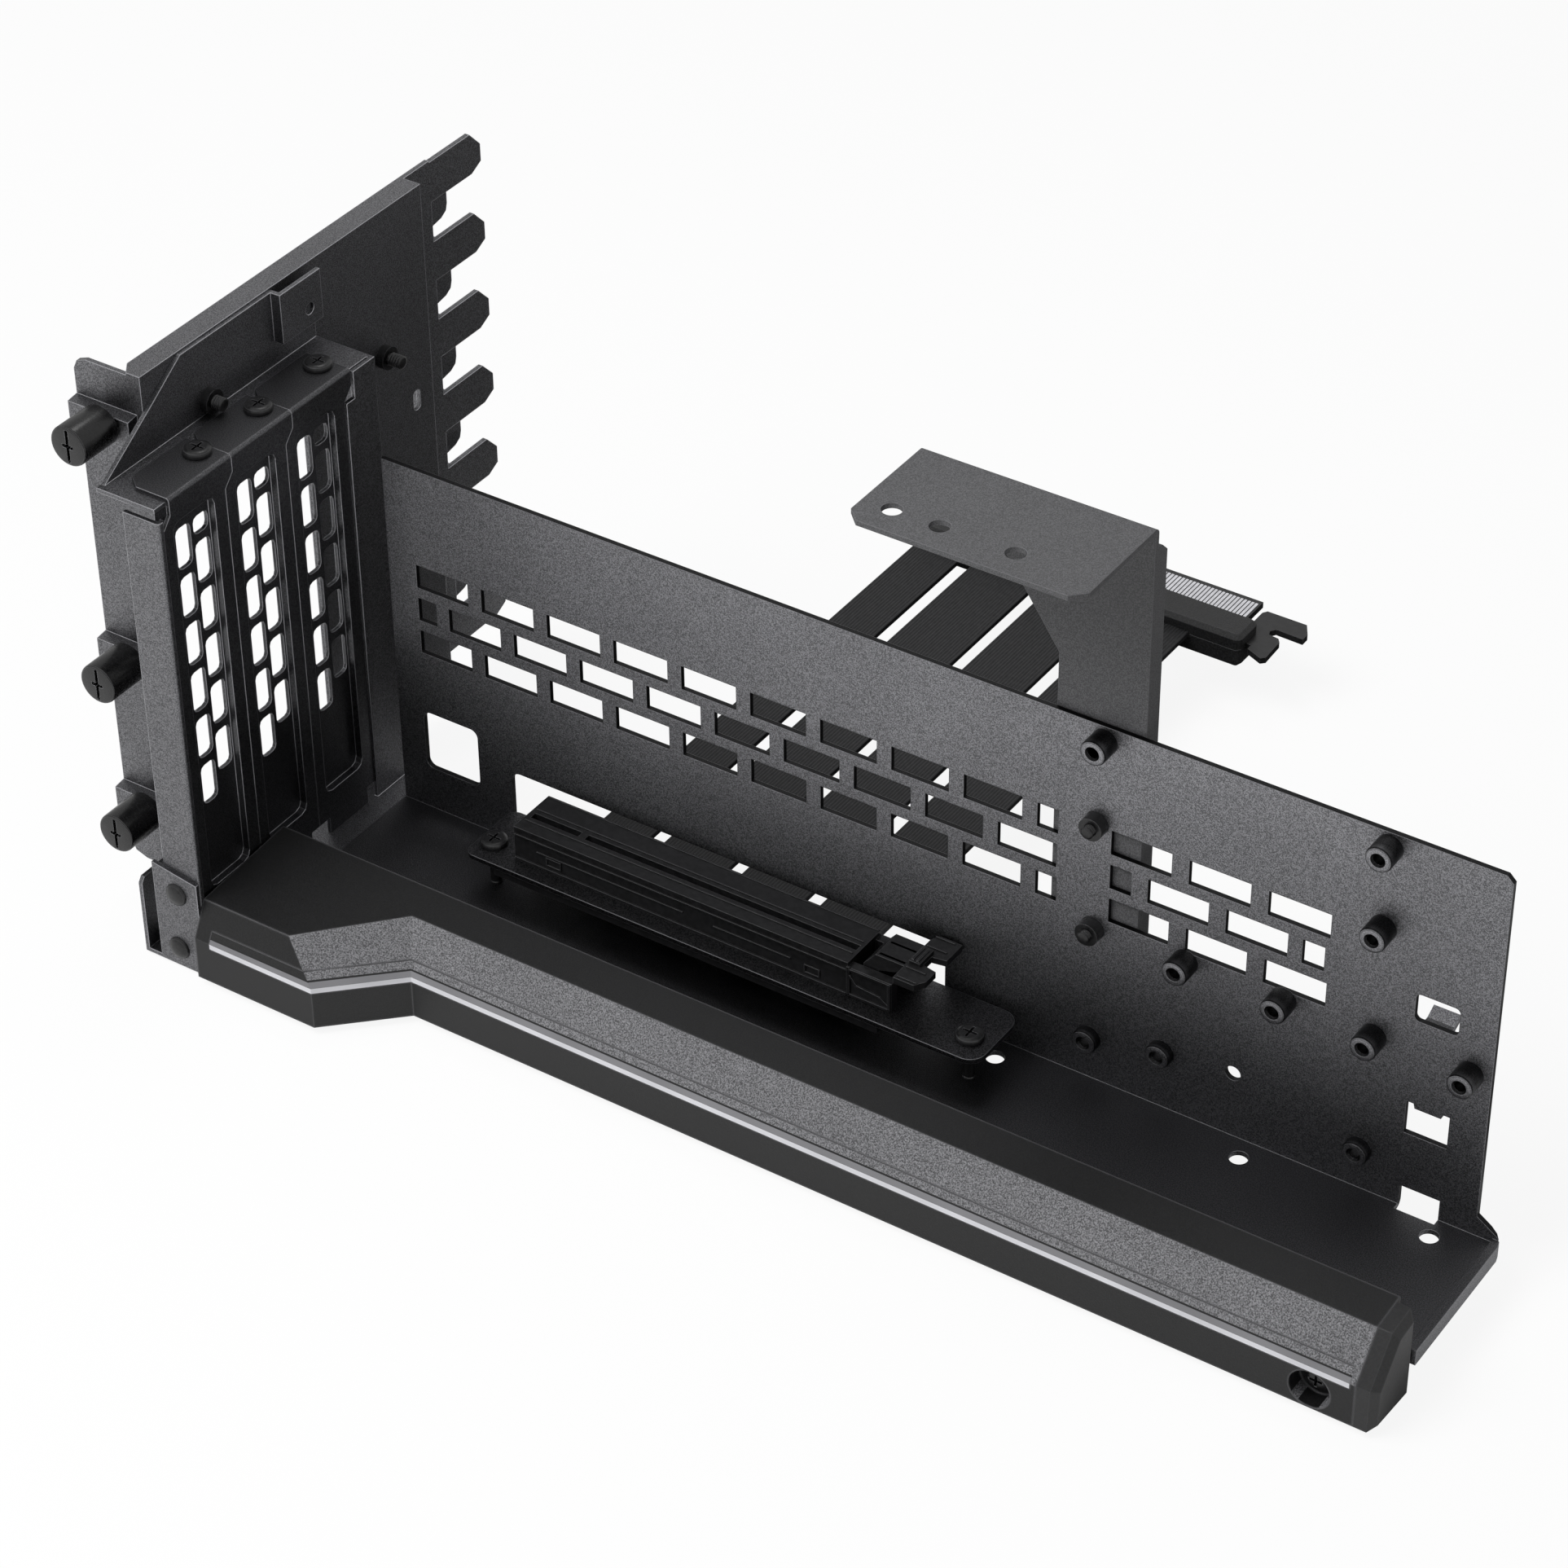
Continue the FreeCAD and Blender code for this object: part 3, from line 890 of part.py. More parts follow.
def make_plug():
    """Plug: two shells over a board whose edge carries the contact fingers and the hook."""
    middle = "board_top - ribbon_thick / 2"
    face = oblong(("plug_left", "plug_front"), ("plug_right", "plug_back"))
    board_low, board_high = f"{middle} - 0.8", f"{middle} + 0.8"
    hook = [("finger_left", "plug_front + 3"), ("-23.4", "plug_front + 3"), ("-23.4", "plug_front + 1.3"),
            ("-19", "143.6"), ("-18", "144.6"), ("-18.3", "151.8"), ("-19.2", "153"), ("-21.9", "153.3"),
            ("-22.4", "154.6"), ("-21.4", "156"), ("-14.2", "155.8"), ("-14.2", "158.2"), ("-16.2", "161.6"),
            ("-26.8", "161.6"), ("-27.6", "160.4"), ("-27.6", "156"), ("finger_right", "156"),
            ("finger_right", "finger_tip"), ("finger_left", "finger_tip")]
    board = prism("plug_board_form", "xy", hook, (board_low, board_high))
    notch_left, notch_right = "finger_left + 12", "finger_left + 13.9"
    key = block("plug_key", (notch_left, "finger_tip - 7.5", f"{board_low} - 1"),
                (notch_right, "finger_tip + 1", f"{board_high} + 1"))
    node(cut("plug_board_cut", board, [key]), "plug_board")
    room = block("board_room", ("plug_left - 5", "plug_front + 3", board_low),
                 ("plug_right + 20", "finger_tip + 30", board_high))
    for name, start, end in (("bottom", f"{middle} - plug_half_low", middle),
                             ("top", middle, f"{middle} + plug_half")):
        shell = new_body(f"plug_{name}_body")
        pad(shell, f"plug_{name}_pad", "xy", face, (start, end))
        soften(shell, f"plug_{name}_corners", "plug_corner", "z",
               [("plug_right", "plug_front"), ("plug_right", "plug_back"), ("plug_left", "plug_front"),
                ("plug_left", "plug_back")])
        soften(shell, f"plug_{name}_bevel", "plug_bevel", "x",
               [("plug_front", end if name == "top" else start)], "Chamfer")
        slots = [block(f"{name}_ribbon_slot_{i}", (left, "plug_front - 1", "board_top - ribbon_thick"),
                       (right, "plug_front + 3", "board_top")) for i, (left, right) in enumerate(RIBBONS)]
        node(cut(f"plug_{name}_cut", shell, [fuse(f"{name}_rooms", [room] + slots)]), f"plug_shell_{name}")
    rows = []
    for part, start, end in (("short", "finger_left + 0.15", f"{notch_left} - 0.6"),
                             ("long", f"{notch_right} + 0.6", "finger_right - 0.15")):
        for side, level in (("top", board_high), ("low", f"{board_low} - finger_sheet")):
            rows.append(block(f"fingers_{part}_{side}", (start, "plug_back", level),
                              (end, "finger_tip - 1.2", f"{level} + finger_sheet")))
    node(together("finger_rows", rows), "plug_fingers")


def write_nodes():
    """Check every object, then write each finished piece to its own file."""
    doc.recompute()
    for item in doc.Objects:
        if "Invalid" in item.State or "Error" in item.State:
            raise RuntimeError(f"{item.Name} failed: {item.State}")
    os.makedirs("parts", exist_ok=True)
    for piece in NODES:
        shape = piece.Shape
        if shape.isNull() or not shape.isValid() or not shape.Solids:
            raise RuntimeError(f"{piece.Label} has no valid solid")
        shape.exportStep(f"parts/{piece.Label}.step")
        print(f"{piece.Label}: {len(shape.Solids)} solid(s), {shape.Volume / 1000:.2f} cm3")


make_tray()
make_standoffs()
make_arm()
make_arm_screws()
make_trim()
make_slot_frame()
make_covers()
make_cover_screws()
make_rear_plate()
make_thumb_screws()
make_frame_screws()
make_corner_bracket()
make_riser_base()
make_slot()
make_latch()
make_ribbons()
make_plug()
write_nodes()
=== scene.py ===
import json
import math

import bmesh
import bpy
from mathutils import Matrix, Vector


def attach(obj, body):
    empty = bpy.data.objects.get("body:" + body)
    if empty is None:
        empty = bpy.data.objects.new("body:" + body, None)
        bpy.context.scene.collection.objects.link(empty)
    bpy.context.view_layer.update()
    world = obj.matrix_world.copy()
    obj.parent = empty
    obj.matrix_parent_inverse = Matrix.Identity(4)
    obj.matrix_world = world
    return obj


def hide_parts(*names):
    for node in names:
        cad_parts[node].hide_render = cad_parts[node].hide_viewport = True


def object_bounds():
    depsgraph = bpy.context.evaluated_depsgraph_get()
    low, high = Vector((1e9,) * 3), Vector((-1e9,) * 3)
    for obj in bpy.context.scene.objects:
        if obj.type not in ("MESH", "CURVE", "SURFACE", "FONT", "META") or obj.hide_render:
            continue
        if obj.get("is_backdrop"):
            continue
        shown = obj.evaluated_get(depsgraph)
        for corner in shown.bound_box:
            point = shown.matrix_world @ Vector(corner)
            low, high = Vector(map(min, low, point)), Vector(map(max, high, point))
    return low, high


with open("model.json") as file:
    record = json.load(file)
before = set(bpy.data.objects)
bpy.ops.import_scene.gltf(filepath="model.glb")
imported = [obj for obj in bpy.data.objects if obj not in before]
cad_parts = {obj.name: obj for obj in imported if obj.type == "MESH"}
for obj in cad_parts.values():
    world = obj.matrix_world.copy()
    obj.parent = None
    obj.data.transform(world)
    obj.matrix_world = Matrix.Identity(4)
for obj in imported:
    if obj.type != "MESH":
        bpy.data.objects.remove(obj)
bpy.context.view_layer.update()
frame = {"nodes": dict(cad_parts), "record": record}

MM = 0.001
# Step from the drawing corner to the part's origin, in millimetres
DATUM = Vector((0.8, 5.4, 0.0))

# Camera: its directions, its place in millimetres, and its frame, focal length and centre in pixels
CAMERA_RIGHT = (0.8339, 0.5518, -0.0087)
CAMERA_FORWARD = (-0.4447, 0.6626, -0.6027)
CAMERA_PLACE = (372.8, -639.3, 626.6)
FRAME_PIXELS = 1925
FOCAL_PIXELS = 5559.46
CENTRE_PIXELS = (969.87, 969.86)
SENSOR_WIDTH = 36

# Floor, surround and black card, in metres
FLOOR_REACH = 6
FLOOR_GAP = 0.0004
FLOOR_SHADE = 0.9
CARD_CORNERS = ((-0.17, 0.04), (0.14, 0.42))
CARD_SHADE = 0.02
SURROUND_LIGHT = 0.16

# Lamps: name, place, what it aims at, side of the square, watts, and whether gloss shows it
LAMPS = (("key", (-0.42, -0.62, 1.15), (0, 0, 0.05), 0.9, 15, False),
         ("gleam", (-0.42, -0.62, 1.15), (0, 0, 0.05), 0.5, 3, True),
         ("rim", (-0.25, 0.35, 1.2), (0, 0, 0.03), 0.35, 1.2, True))


def at(x, y, z):
    """Point in metres from millimetres measured off the drawing corner."""
    return (Vector((x, y, z)) + DATUM) * MM


def new_object(name, data):
    """Object for some data, linked to the scene."""
    thing = bpy.data.objects.new(name, data)
    bpy.context.scene.collection.objects.link(thing)
    return thing


# Nodes

def link_nodes(tree, *pairs):
    """Join sockets given as (output, input) pairs."""
    for source, target in pairs:
        tree.links.new(source, target)


def add_node(tree, kind, **settings):
    """Node of a kind with its settings."""
    node = tree.nodes.new("ShaderNode" + kind)
    for key, content in settings.items():
        if key in node.inputs:
            node.inputs[key].default_value = content
        else:
            setattr(node, key, content)
    return node


def feed(tree, socket, content):
    """Give an input a link from another socket, or a plain number or colour."""
    if isinstance(content, bpy.types.NodeSocket):
        tree.links.new(content, socket)
    else:
        socket.default_value = content


def worked(tree, operation, *terms, clamp=False):
    """Result of a math node on sockets and plain numbers."""
    node = add_node(tree, "Math", operation=operation, use_clamp=clamp)
    for socket, term in zip(node.inputs, terms):
        feed(tree, socket, term)
    return node.outputs[0]


def map_range(tree, source, low, high, start=0.0, end=1.0):
    """Value carried from the range low to high over to the range start to end."""
    node = add_node(tree, "MapRange")
    for key, content in (("From Min", low), ("From Max", high), ("To Min", start), ("To Max", end)):
        node.inputs[key].default_value = content
    tree.links.new(source, node.inputs["Value"])
    return node.outputs["Result"]


def mixed(tree, share, first, second, blend_type="MIX"):
    """Two colours mixed by a share. Each is a socket or a plain value."""
    mixer = add_node(tree, "Mix", data_type="RGBA", blend_type=blend_type)
    feed(tree, mixer.inputs["Factor"], share)
    feed(tree, mixer.inputs[6], first)
    feed(tree, mixer.inputs[7], second)
    return mixer.outputs[2]


def new_paint(name):
    """Empty principled material and its parts."""
    paint = bpy.data.materials.new(name)
    paint.use_nodes = True
    tree = paint.node_tree
    return paint, tree, tree.nodes["Principled BSDF"]


# Camera, floor and light

def make_camera():
    """Camera at the photograph's place, with its long lens."""
    right = Vector(CAMERA_RIGHT).normalized()
    forward = Vector(CAMERA_FORWARD).normalized()
    up = right.cross(forward).normalized()
    right = forward.cross(up).normalized()
    data = bpy.data.cameras.new("camera")
    camera = new_object("camera", data)
    turn = Matrix((right, up, -forward)).transposed().to_4x4()
    camera.matrix_world = Matrix.Translation(at(*CAMERA_PLACE)) @ turn
    data.sensor_width = SENSOR_WIDTH
    data.lens = FOCAL_PIXELS / FRAME_PIXELS * SENSOR_WIDTH
    data.shift_x = -(CENTRE_PIXELS[0] - FRAME_PIXELS / 2) / FRAME_PIXELS
    data.shift_y = (CENTRE_PIXELS[1] - FRAME_PIXELS / 2) / FRAME_PIXELS
    data.clip_end = 20
    bpy.context.scene.camera = camera


def seen_share(tree, camera_share, gloss_share):
    """How white a surface is to the camera and to gloss and glass, over its own lit colour."""
    path = add_node(tree, "LightPath")
    seen = worked(tree, "MULTIPLY", path.outputs["Is Camera Ray"], camera_share)
    glossy = worked(tree, "MULTIPLY_ADD", path.outputs["Is Glossy Ray"], gloss_share, seen)
    return worked(tree, "MULTIPLY_ADD", path.outputs["Is Transmission Ray"], gloss_share, glossy,
                  clamp=True)


def make_sheet(name, corners, level, paint):
    """Flat rectangle between two corners at a level."""
    (x0, y0), (x1, y1) = corners
    mesh = bpy.data.meshes.new(name)
    mesh.from_pydata([(x0, y0, level), (x1, y0, level), (x1, y1, level), (x0, y1, level)], [],
                     [(0, 1, 2, 3)])
    mesh.materials.append(paint)
    return new_object(name, mesh)


def make_floor():
    """Plain white floor just under the lowest point of the part."""
    paint, tree, shader = new_paint("floor_white")
    shader.inputs["Base Color"].default_value = (FLOOR_SHADE, FLOOR_SHADE, FLOOR_SHADE, 1)
    shader.inputs["Roughness"].default_value = 1
    shader.inputs["Specular IOR Level"].default_value = 0
    glow = add_node(tree, "Emission", Color=(1, 1, 1, 1), Strength=1.0)
    blend = add_node(tree, "MixShader")
    link_nodes(tree, (seen_share(tree, 0.9, 0.02), blend.inputs[0]),
               (shader.outputs[0], blend.inputs[1]), (glow.outputs[0], blend.inputs[2]),
               (blend.outputs[0], tree.nodes["Material Output"].inputs[0]))
    corners = ((-FLOOR_REACH, -FLOOR_REACH), (FLOOR_REACH, FLOOR_REACH))
    floor = make_sheet("floor", corners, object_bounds()[0][2] - FLOOR_GAP, paint)
    floor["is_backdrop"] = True


def make_world():
    """Dim surround that shows white to the camera and light grey to gloss."""
    world = bpy.data.worlds.new("surround")
    bpy.context.scene.world = world
    world.use_nodes = True
    tree = world.node_tree
    sky = tree.nodes["Background"]
    sky.inputs["Color"].default_value = (1, 1, 1, 1)
    level = map_range(tree, seen_share(tree, 1.0, 0.6), 0.0, 1.0, SURROUND_LIGHT, 1.0)
    tree.links.new(level, sky.inputs["Strength"])


def make_flag():
    """Black card behind the part, seen by gloss alone, that keeps its right-hand faces dark."""
    paint, _, shader = new_paint("flag_black")
    shader.inputs["Base Color"].default_value = (CARD_SHADE, CARD_SHADE, CARD_SHADE, 1)
    shader.inputs["Roughness"].default_value = 1
    flag = make_sheet("flag", CARD_CORNERS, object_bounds()[0][2], paint)
    flag.visible_camera = False
    flag.visible_diffuse = False
    flag.visible_shadow = False
    flag.visible_transmission = False
    flag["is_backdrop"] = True


def make_light():
    """Soft studio light: a large panel in front on the left, a smaller one there, one behind."""
    bpy.context.scene.view_settings.view_transform = "Standard"
    make_world()
    for name, place, target, side, power, gloss in LAMPS:
        data = bpy.data.lights.new(name, "AREA")
        data.shape = "RECTANGLE"
        data.size = data.size_y = side
        data.energy = power
        lamp = new_object(name, data)
        lamp.location = place
        aim = Vector(target) - Vector(place)
        lamp.rotation_euler = aim.to_track_quat("-Z", "Y").to_euler()
        lamp.visible_glossy = gloss


# Materials. A pair of shades is the darkest and the lightest grey of a texture, and a span is the
# part of the texture's range that lies between them.

SPECKLE_SPAN = (0.42, 0.60)
FACING_SPAN = (0.40, 0.62)
SOFT_SPAN = (0.3, 0.7)
BLUE_TINT = 1.05
CLOUD_SCALE = 28.0
CLOUD_SHADES = (0.92, 1.05)
# Dark shades painted on a sheet's cut edges as shade
CUT_PAINTED_SHADES = (0.008, 0.016)
# How far the facing rises or falls over, and the cosines at which the painted highlight on an
# edge begins and is full
FACING_BLEND = 0.06
EDGE_LEAN = (0.985, 0.88)
ROUGH_SPREAD = 0.08
BUMP_DISTANCE = 0.0002
GRAIN_ROUGHNESS = 0.65
PAINT_GRAIN = 4000.0
# The trim's grain, the shades of its dark faces, the lighter shades of its slopes, which are a
# painted highlight, and how far up the slopes face
TRIM_GRAIN = 3200.0
TRIM_SHADES = (0.004, 0.010)
SLOPE_HIGHLIGHT_SHADES = (0.05, 0.26)
SLOPE_FACING = (0.50, 0.82)
# Shades of the light strip's front, slope and seam, and the heights of the seam's foot and top
STRIP_FRONT = (0.66, 0.78)
STRIP_SLOPE = (0.17, 0.21)
STRIP_SEAM = (0.003, 0.005)
SEAM_FOOT = 0.0025
SEAM_TOP = 0.0028

# Coats by the name of the record's slot, or of a shaded copy of its paint. Lengths are in metres,
# and edge is the radius of a rounded edge, and rim the grey of a painted highlight along it. facing
# is other shades, and the amounts between which a face has them: painted light and shade by the way
# a face points. cut is the middle of a sheet along Y, and how far from it the cut edges get painted
# shade.
COATS = {
    # dark_paint: faces that point up take darker shades, a painted shade; its cut edges take a
    # painted shade too.
    "dark_paint": dict(shades=(0.13, 0.37), rough=0.34, grain=PAINT_GRAIN, bumps=0.5, edge=0.0003,
                       rim=0.28, metallic=1.0, facing=((0.05, 0.13), (0.9, 2.0)),
                       cut=(0.0060, 0.00057)),
    # Tube paint: very dark shades on the sides, a painted shade; faces that point to the front take
    # shades near the panel's.
    "tube_paint_shaded_sides": dict(shades=(0.012, 0.03), rough=0.34, grain=PAINT_GRAIN, bumps=0.3,
                       edge=0.00012, rim=0.3, metallic=1.0,
                       facing=((0.16, 0.36), (-2.0, -0.95, "Y"))),
    # The next four are darker copies of their slot's paint: painted shade for parts that sit in
    # shade.
    "frame_paint_shaded": dict(shades=(0.08, 0.24), rough=0.34, grain=PAINT_GRAIN, bumps=0.5, edge=0.0003,
                        rim=0.6, metallic=1.0),
    "cover_paint_shaded": dict(shades=(0.06, 0.15), rough=0.34, grain=PAINT_GRAIN, bumps=0.3, edge=0.0003,
                        rim=0.45, metallic=1.0),
    "arm_paint_shaded": dict(shades=(0.05, 0.12), rough=0.5, grain=PAINT_GRAIN, bumps=0.4, edge=0.0003,
                      rim=0.16),
    "base_paint_shaded": dict(shades=(0.025, 0.12), rough=0.4, grain=PAINT_GRAIN, bumps=0.3, edge=0.0003,
                       rim=0.3, metallic=1.0),
    # trim_coat: its slopes take lighter shades, a painted highlight.
    "trim_coat": dict(shades=TRIM_SHADES, rough=0.5, grain=TRIM_GRAIN, bumps=0.3, edge=0.0008,
                      rim=0.12, specular=0.42, facing=(SLOPE_HIGHLIGHT_SHADES, SLOPE_FACING)),
    "trim_cap": dict(shades=(0.010, 0.016), rough=0.45, grain=1600.0, bumps=0.2, edge=0.0006,
                     rim=0.05),
    "black_steel": dict(shades=(0.004, 0.010), rough=0.3, grain=1500.0, bumps=0.2, edge=0.00009,
                        rim=0.16),
    "thumb_black": dict(shades=(0.003, 0.007), rough=0.26, grain=1500.0, bumps=0.1, edge=0.00014,
                        rim=0.3),
    "board": dict(shades=(0.008, 0.014), rough=0.35, grain=500.0, bumps=0.1, edge=0.0001, rim=0.1),
    "slot_plastic": dict(shades=(0.006, 0.011), rough=0.33, grain=900.0, bumps=0.05, edge=0.00015,
                         rim=0.09),
    "contact_metal": dict(shades=(0.35, 0.5), rough=0.3, grain=700.0, bumps=0.05, edge=0.00005,
                          rim=0.5, metallic=1.0),
    "finger_metal": dict(shades=(0.75, 0.85), rough=0.35, grain=700.0, bumps=0.05, edge=0.00005,
                         rim=0.8, metallic=0.3),
    "plug_plastic": dict(shades=(0.004, 0.016), rough=0.5, grain=2400.0, bumps=0.5, edge=0.0004,
                         rim=0.05),
}

# Nodes whose coat is a darker copy of their slot's paint, a painted shade for parts that sit in
# shade
SHADED_COPIES = {"slot_frame": "frame_paint_shaded", "rear_plate": "frame_paint_shaded",
           "corner_bracket": "frame_paint_shaded", "slot_cover_1": "cover_paint_shaded",
           "slot_cover_2": "cover_paint_shaded", "slot_cover_3": "cover_paint_shaded",
           "support_arm": "arm_paint_shaded", "riser_base": "base_paint_shaded"}


def grey(level, blue=BLUE_TINT):
    """Opaque grey with a touch of blue, or none at a blue of one."""
    return (level, level, level * blue, 1)


def grey_ramp(tree, source, shades, span=SOFT_SPAN, blue=BLUE_TINT):
    """Ramp between two greys over part of a texture's range."""
    ramp = add_node(tree, "ValToRGB")
    for element, shade, place in zip(ramp.color_ramp.elements, shades, span):
        element.position = place
        element.color = grey(shade, blue)
    tree.links.new(source, ramp.inputs["Fac"])
    return ramp.outputs["Color"]


def facing_share(tree, low, high, axis="Z"):
    """Share of a surface that faces along an axis between two amounts, from its true normal."""
    facing = add_node(tree, "NewGeometry")
    parts = add_node(tree, "SeparateXYZ")
    tree.links.new(facing.outputs["True Normal"], parts.inputs[0])
    rise = map_range(tree, parts.outputs[axis], low, low + FACING_BLEND)
    fall = map_range(tree, parts.outputs[axis], high, high + FACING_BLEND, 1.0, 0.0)
    return worked(tree, "MULTIPLY", rise, fall)


def edge_highlight_share(tree, bevel):
    """Share of an edge's painted highlight: how far the rounded normal leans from the true one."""
    facing = add_node(tree, "NewGeometry")
    lean = add_node(tree, "VectorMath", operation="DOT_PRODUCT")
    link_nodes(tree, (bevel.outputs["Normal"], lean.inputs[0]),
               (facing.outputs["True Normal"], lean.inputs[1]))
    return map_range(tree, lean.outputs["Value"], *EDGE_LEAN)


def cut_shade_share(tree, place, middle, reach):
    """Share of a sheet's cut edges, which take a painted shade: within reach of its middle along Y,
    and not facing along Y.
    """
    parts = add_node(tree, "SeparateXYZ")
    tree.links.new(place, parts.inputs[0])
    inside = worked(tree, "COMPARE", parts.outputs["Y"], middle, reach)
    return worked(tree, "MULTIPLY", inside, facing_share(tree, -0.5, 0.5, "Y"))


def noise_on(tree, place, scale, detail, roughness=0.5):
    """Noise over a place on the object."""
    noise = add_node(tree, "TexNoise", Scale=scale, Detail=detail, Roughness=roughness)
    tree.links.new(place, noise.inputs["Vector"])
    return noise.outputs["Fac"]


def add_bump(tree, shader, height, strength, normal=None):
    """Small bumps on a shader, over a rounded normal if there is one."""
    bump = add_node(tree, "Bump", Strength=strength, Distance=BUMP_DISTANCE)
    link_nodes(tree, (height, bump.inputs["Height"]),
               (bump.outputs["Normal"], shader.inputs["Normal"]))
    if normal is not None:
        tree.links.new(normal, bump.inputs["Normal"])


def coat(name, shades, rough, grain, bumps, edge, rim, metallic=0.0, specular=0.5, facing=None,
         cut=None):
    """Painted or moulded skin: fine speckle, soft waviness, small bumps, round edges with a painted
    highlight, and, where given, painted light and shade by facing and painted shade on cut edges.
    """
    paint, tree, shader = new_paint(name)
    place = add_node(tree, "TexCoord").outputs["Object"]
    fine = noise_on(tree, place, grain, 3.0, GRAIN_ROUGHNESS)
    broad = noise_on(tree, place, CLOUD_SCALE, 2.0)
    colour = grey_ramp(tree, fine, shades, SPECKLE_SPAN)
    # Faces that point a given way take other shades: painted light and shade.
    if facing:
        facing_light_shades, amounts = facing
        colour = mixed(tree, facing_share(tree, *amounts), colour,
                       grey_ramp(tree, fine, facing_light_shades, FACING_SPAN))
    cloud = grey_ramp(tree, broad, CLOUD_SHADES, blue=1.0)
    colour = mixed(tree, 1.0, colour, cloud, "MULTIPLY")
    bevel = add_node(tree, "Bevel", samples=6, Radius=edge)
    # Round edges are lightened towards the rim grey: a painted highlight along every edge.
    colour = mixed(tree, edge_highlight_share(tree, bevel), colour, grey(rim))
    # A sheet's cut edges are darkened: painted shade.
    if cut:
        colour = mixed(tree, cut_shade_share(tree, place, *cut), colour,
                       grey_ramp(tree, fine, CUT_PAINTED_SHADES))
    spread = map_range(tree, fine, 0.0, 1.0, rough - ROUGH_SPREAD, rough + ROUGH_SPREAD)
    link_nodes(tree, (colour, shader.inputs["Base Color"]), (spread, shader.inputs["Roughness"]))
    add_bump(tree, shader, fine, bumps, bevel.outputs["Normal"])
    shader.inputs["Metallic"].default_value = metallic
    shader.inputs["Specular IOR Level"].default_value = specular
    return paint


def ribbon_skin(name):
    """Dark cable jacket with a fine sheen that varies a little."""
    paint, tree, shader = new_paint(name)
    place = add_node(tree, "TexCoord").outputs["Object"]
    fine = noise_on(tree, place, 900.0, 2.0)
    tree.links.new(grey_ramp(tree, fine, (0.012, 0.022)), shader.inputs["Base Color"])
    add_bump(tree, shader, fine, 0.15)
    shader.inputs["Roughness"].default_value = 0.5
    shader.inputs["Specular IOR Level"].default_value = 0.28
    return paint


def strip_skin(name):
    """Frosted diffuser: bright front, grey slope, dark seam, and above them the trim's shades, with
    the painted highlight on its slopes.
    """
    paint, tree, shader = new_paint(name)
    place = add_node(tree, "TexCoord").outputs["Object"]
    broad = noise_on(tree, place, 60.0, 1.0)
    fine = noise_on(tree, place, TRIM_GRAIN, 3.0, GRAIN_ROUGHNESS)
    parts = add_node(tree, "SeparateXYZ")
    tree.links.new(place, parts.inputs[0])
    over_foot, over_top = (worked(tree, "GREATER_THAN", parts.outputs["Z"], height)
                           for height in (SEAM_FOOT, SEAM_TOP))
    # Above the seam, the trim's shades, with its slopes lighter as a painted highlight.
    cover = mixed(tree, facing_share(tree, *SLOPE_FACING),
                  grey_ramp(tree, fine, TRIM_SHADES, SPECKLE_SPAN),
                  grey_ramp(tree, fine, SLOPE_HIGHLIGHT_SHADES, FACING_SPAN))
    colour = grey_ramp(tree, broad, STRIP_FRONT)
    for share, other in ((facing_share(tree, 0.2, 2.0), grey_ramp(tree, broad, STRIP_SLOPE)),
                         (over_foot, grey_ramp(tree, broad, STRIP_SEAM)), (over_top, cover)):
        colour = mixed(tree, share, colour, other)
    tree.links.new(colour, shader.inputs["Base Color"])
    shader.inputs["Roughness"].default_value = 0.45
    return paint


def make_paints():
    """Every material of the part, by the name of the record's slot or of a shaded copy of its
    paint.
    """
    paints = {name: coat(name, **settings) for name, settings in COATS.items()}
    paints["ribbon"] = ribbon_skin("ribbon")
    paints["light_strip"] = strip_skin("light_strip")
    return paints


def paint_nodes():
    """Give each carried-over node the material of its slot, or a darker copy of it as painted
    shade.
    """
    for entry in frame["record"]["subparts"]:
        node = frame["nodes"][entry["node"]]
        node.data.materials.clear()
        node.data.materials.append(PAINTS[SHADED_COPIES.get(entry["node"], entry["material_slot"])])


# Forms

# Sides of a turned ring, and the angle past which an edge is shaded sharp
ROUND = 40
SHARP_ANGLE = math.radians(32)
# What is left of a cross recess at its floor, across and along
RECESS_FLOOR = (0.72, 0.8)
# A cross recess: the half lengths of its arms and their half width, and its depth
SMALL_CROSS = ((1.75, 1.75, 0.3), 1.0)
THUMB_CROSS = ((4.0, 1.5, 0.42), 1.3)


def new_piece(name, mesh, slot, body, replaced=None, smooth=True, paint=None):
    """Object from a finished mesh, with its material, body and the node it stands for, if any."""
    bmesh.ops.recalc_face_normals(mesh, faces=mesh.faces)
    data = bpy.data.meshes.new(name)
    mesh.to_mesh(data)
    mesh.free()
    piece = new_object(name, data)
    data.materials.append(PAINTS[paint or slot])
    if smooth:
        data.shade_smooth()
        data.set_sharp_from_angle(angle=SHARP_ANGLE)
    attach(piece, body)
    if replaced:
        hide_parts(replaced)


def band(mesh, first, second):
    """Faces between two loops of the same count."""
    count = len(first)
    for i in range(count):
        j = (i + 1) % count
        mesh.faces.new((first[i], first[j], second[j], second[i]))


def loft(mesh, outlines):
    """Closed form through outlines in the drawing's millimetres, with flat ends."""
    loops = [[mesh.verts.new(at(*point)) for point in outline] for outline in outlines]
    for first, second in zip(loops, loops[1:]):
        band(mesh, first, second)
    mesh.faces.new(loops[0])
    mesh.faces.new(loops[-1])


def bar(mesh, low, high):
    """Straight rib between two corners."""
    (x0, y0, z0), (x1, y1, z1) = low, high
    loft(mesh, [[(x0, y0, z), (x1, y0, z), (x1, y1, z), (x0, y1, z)] for z in (z0, z1)])


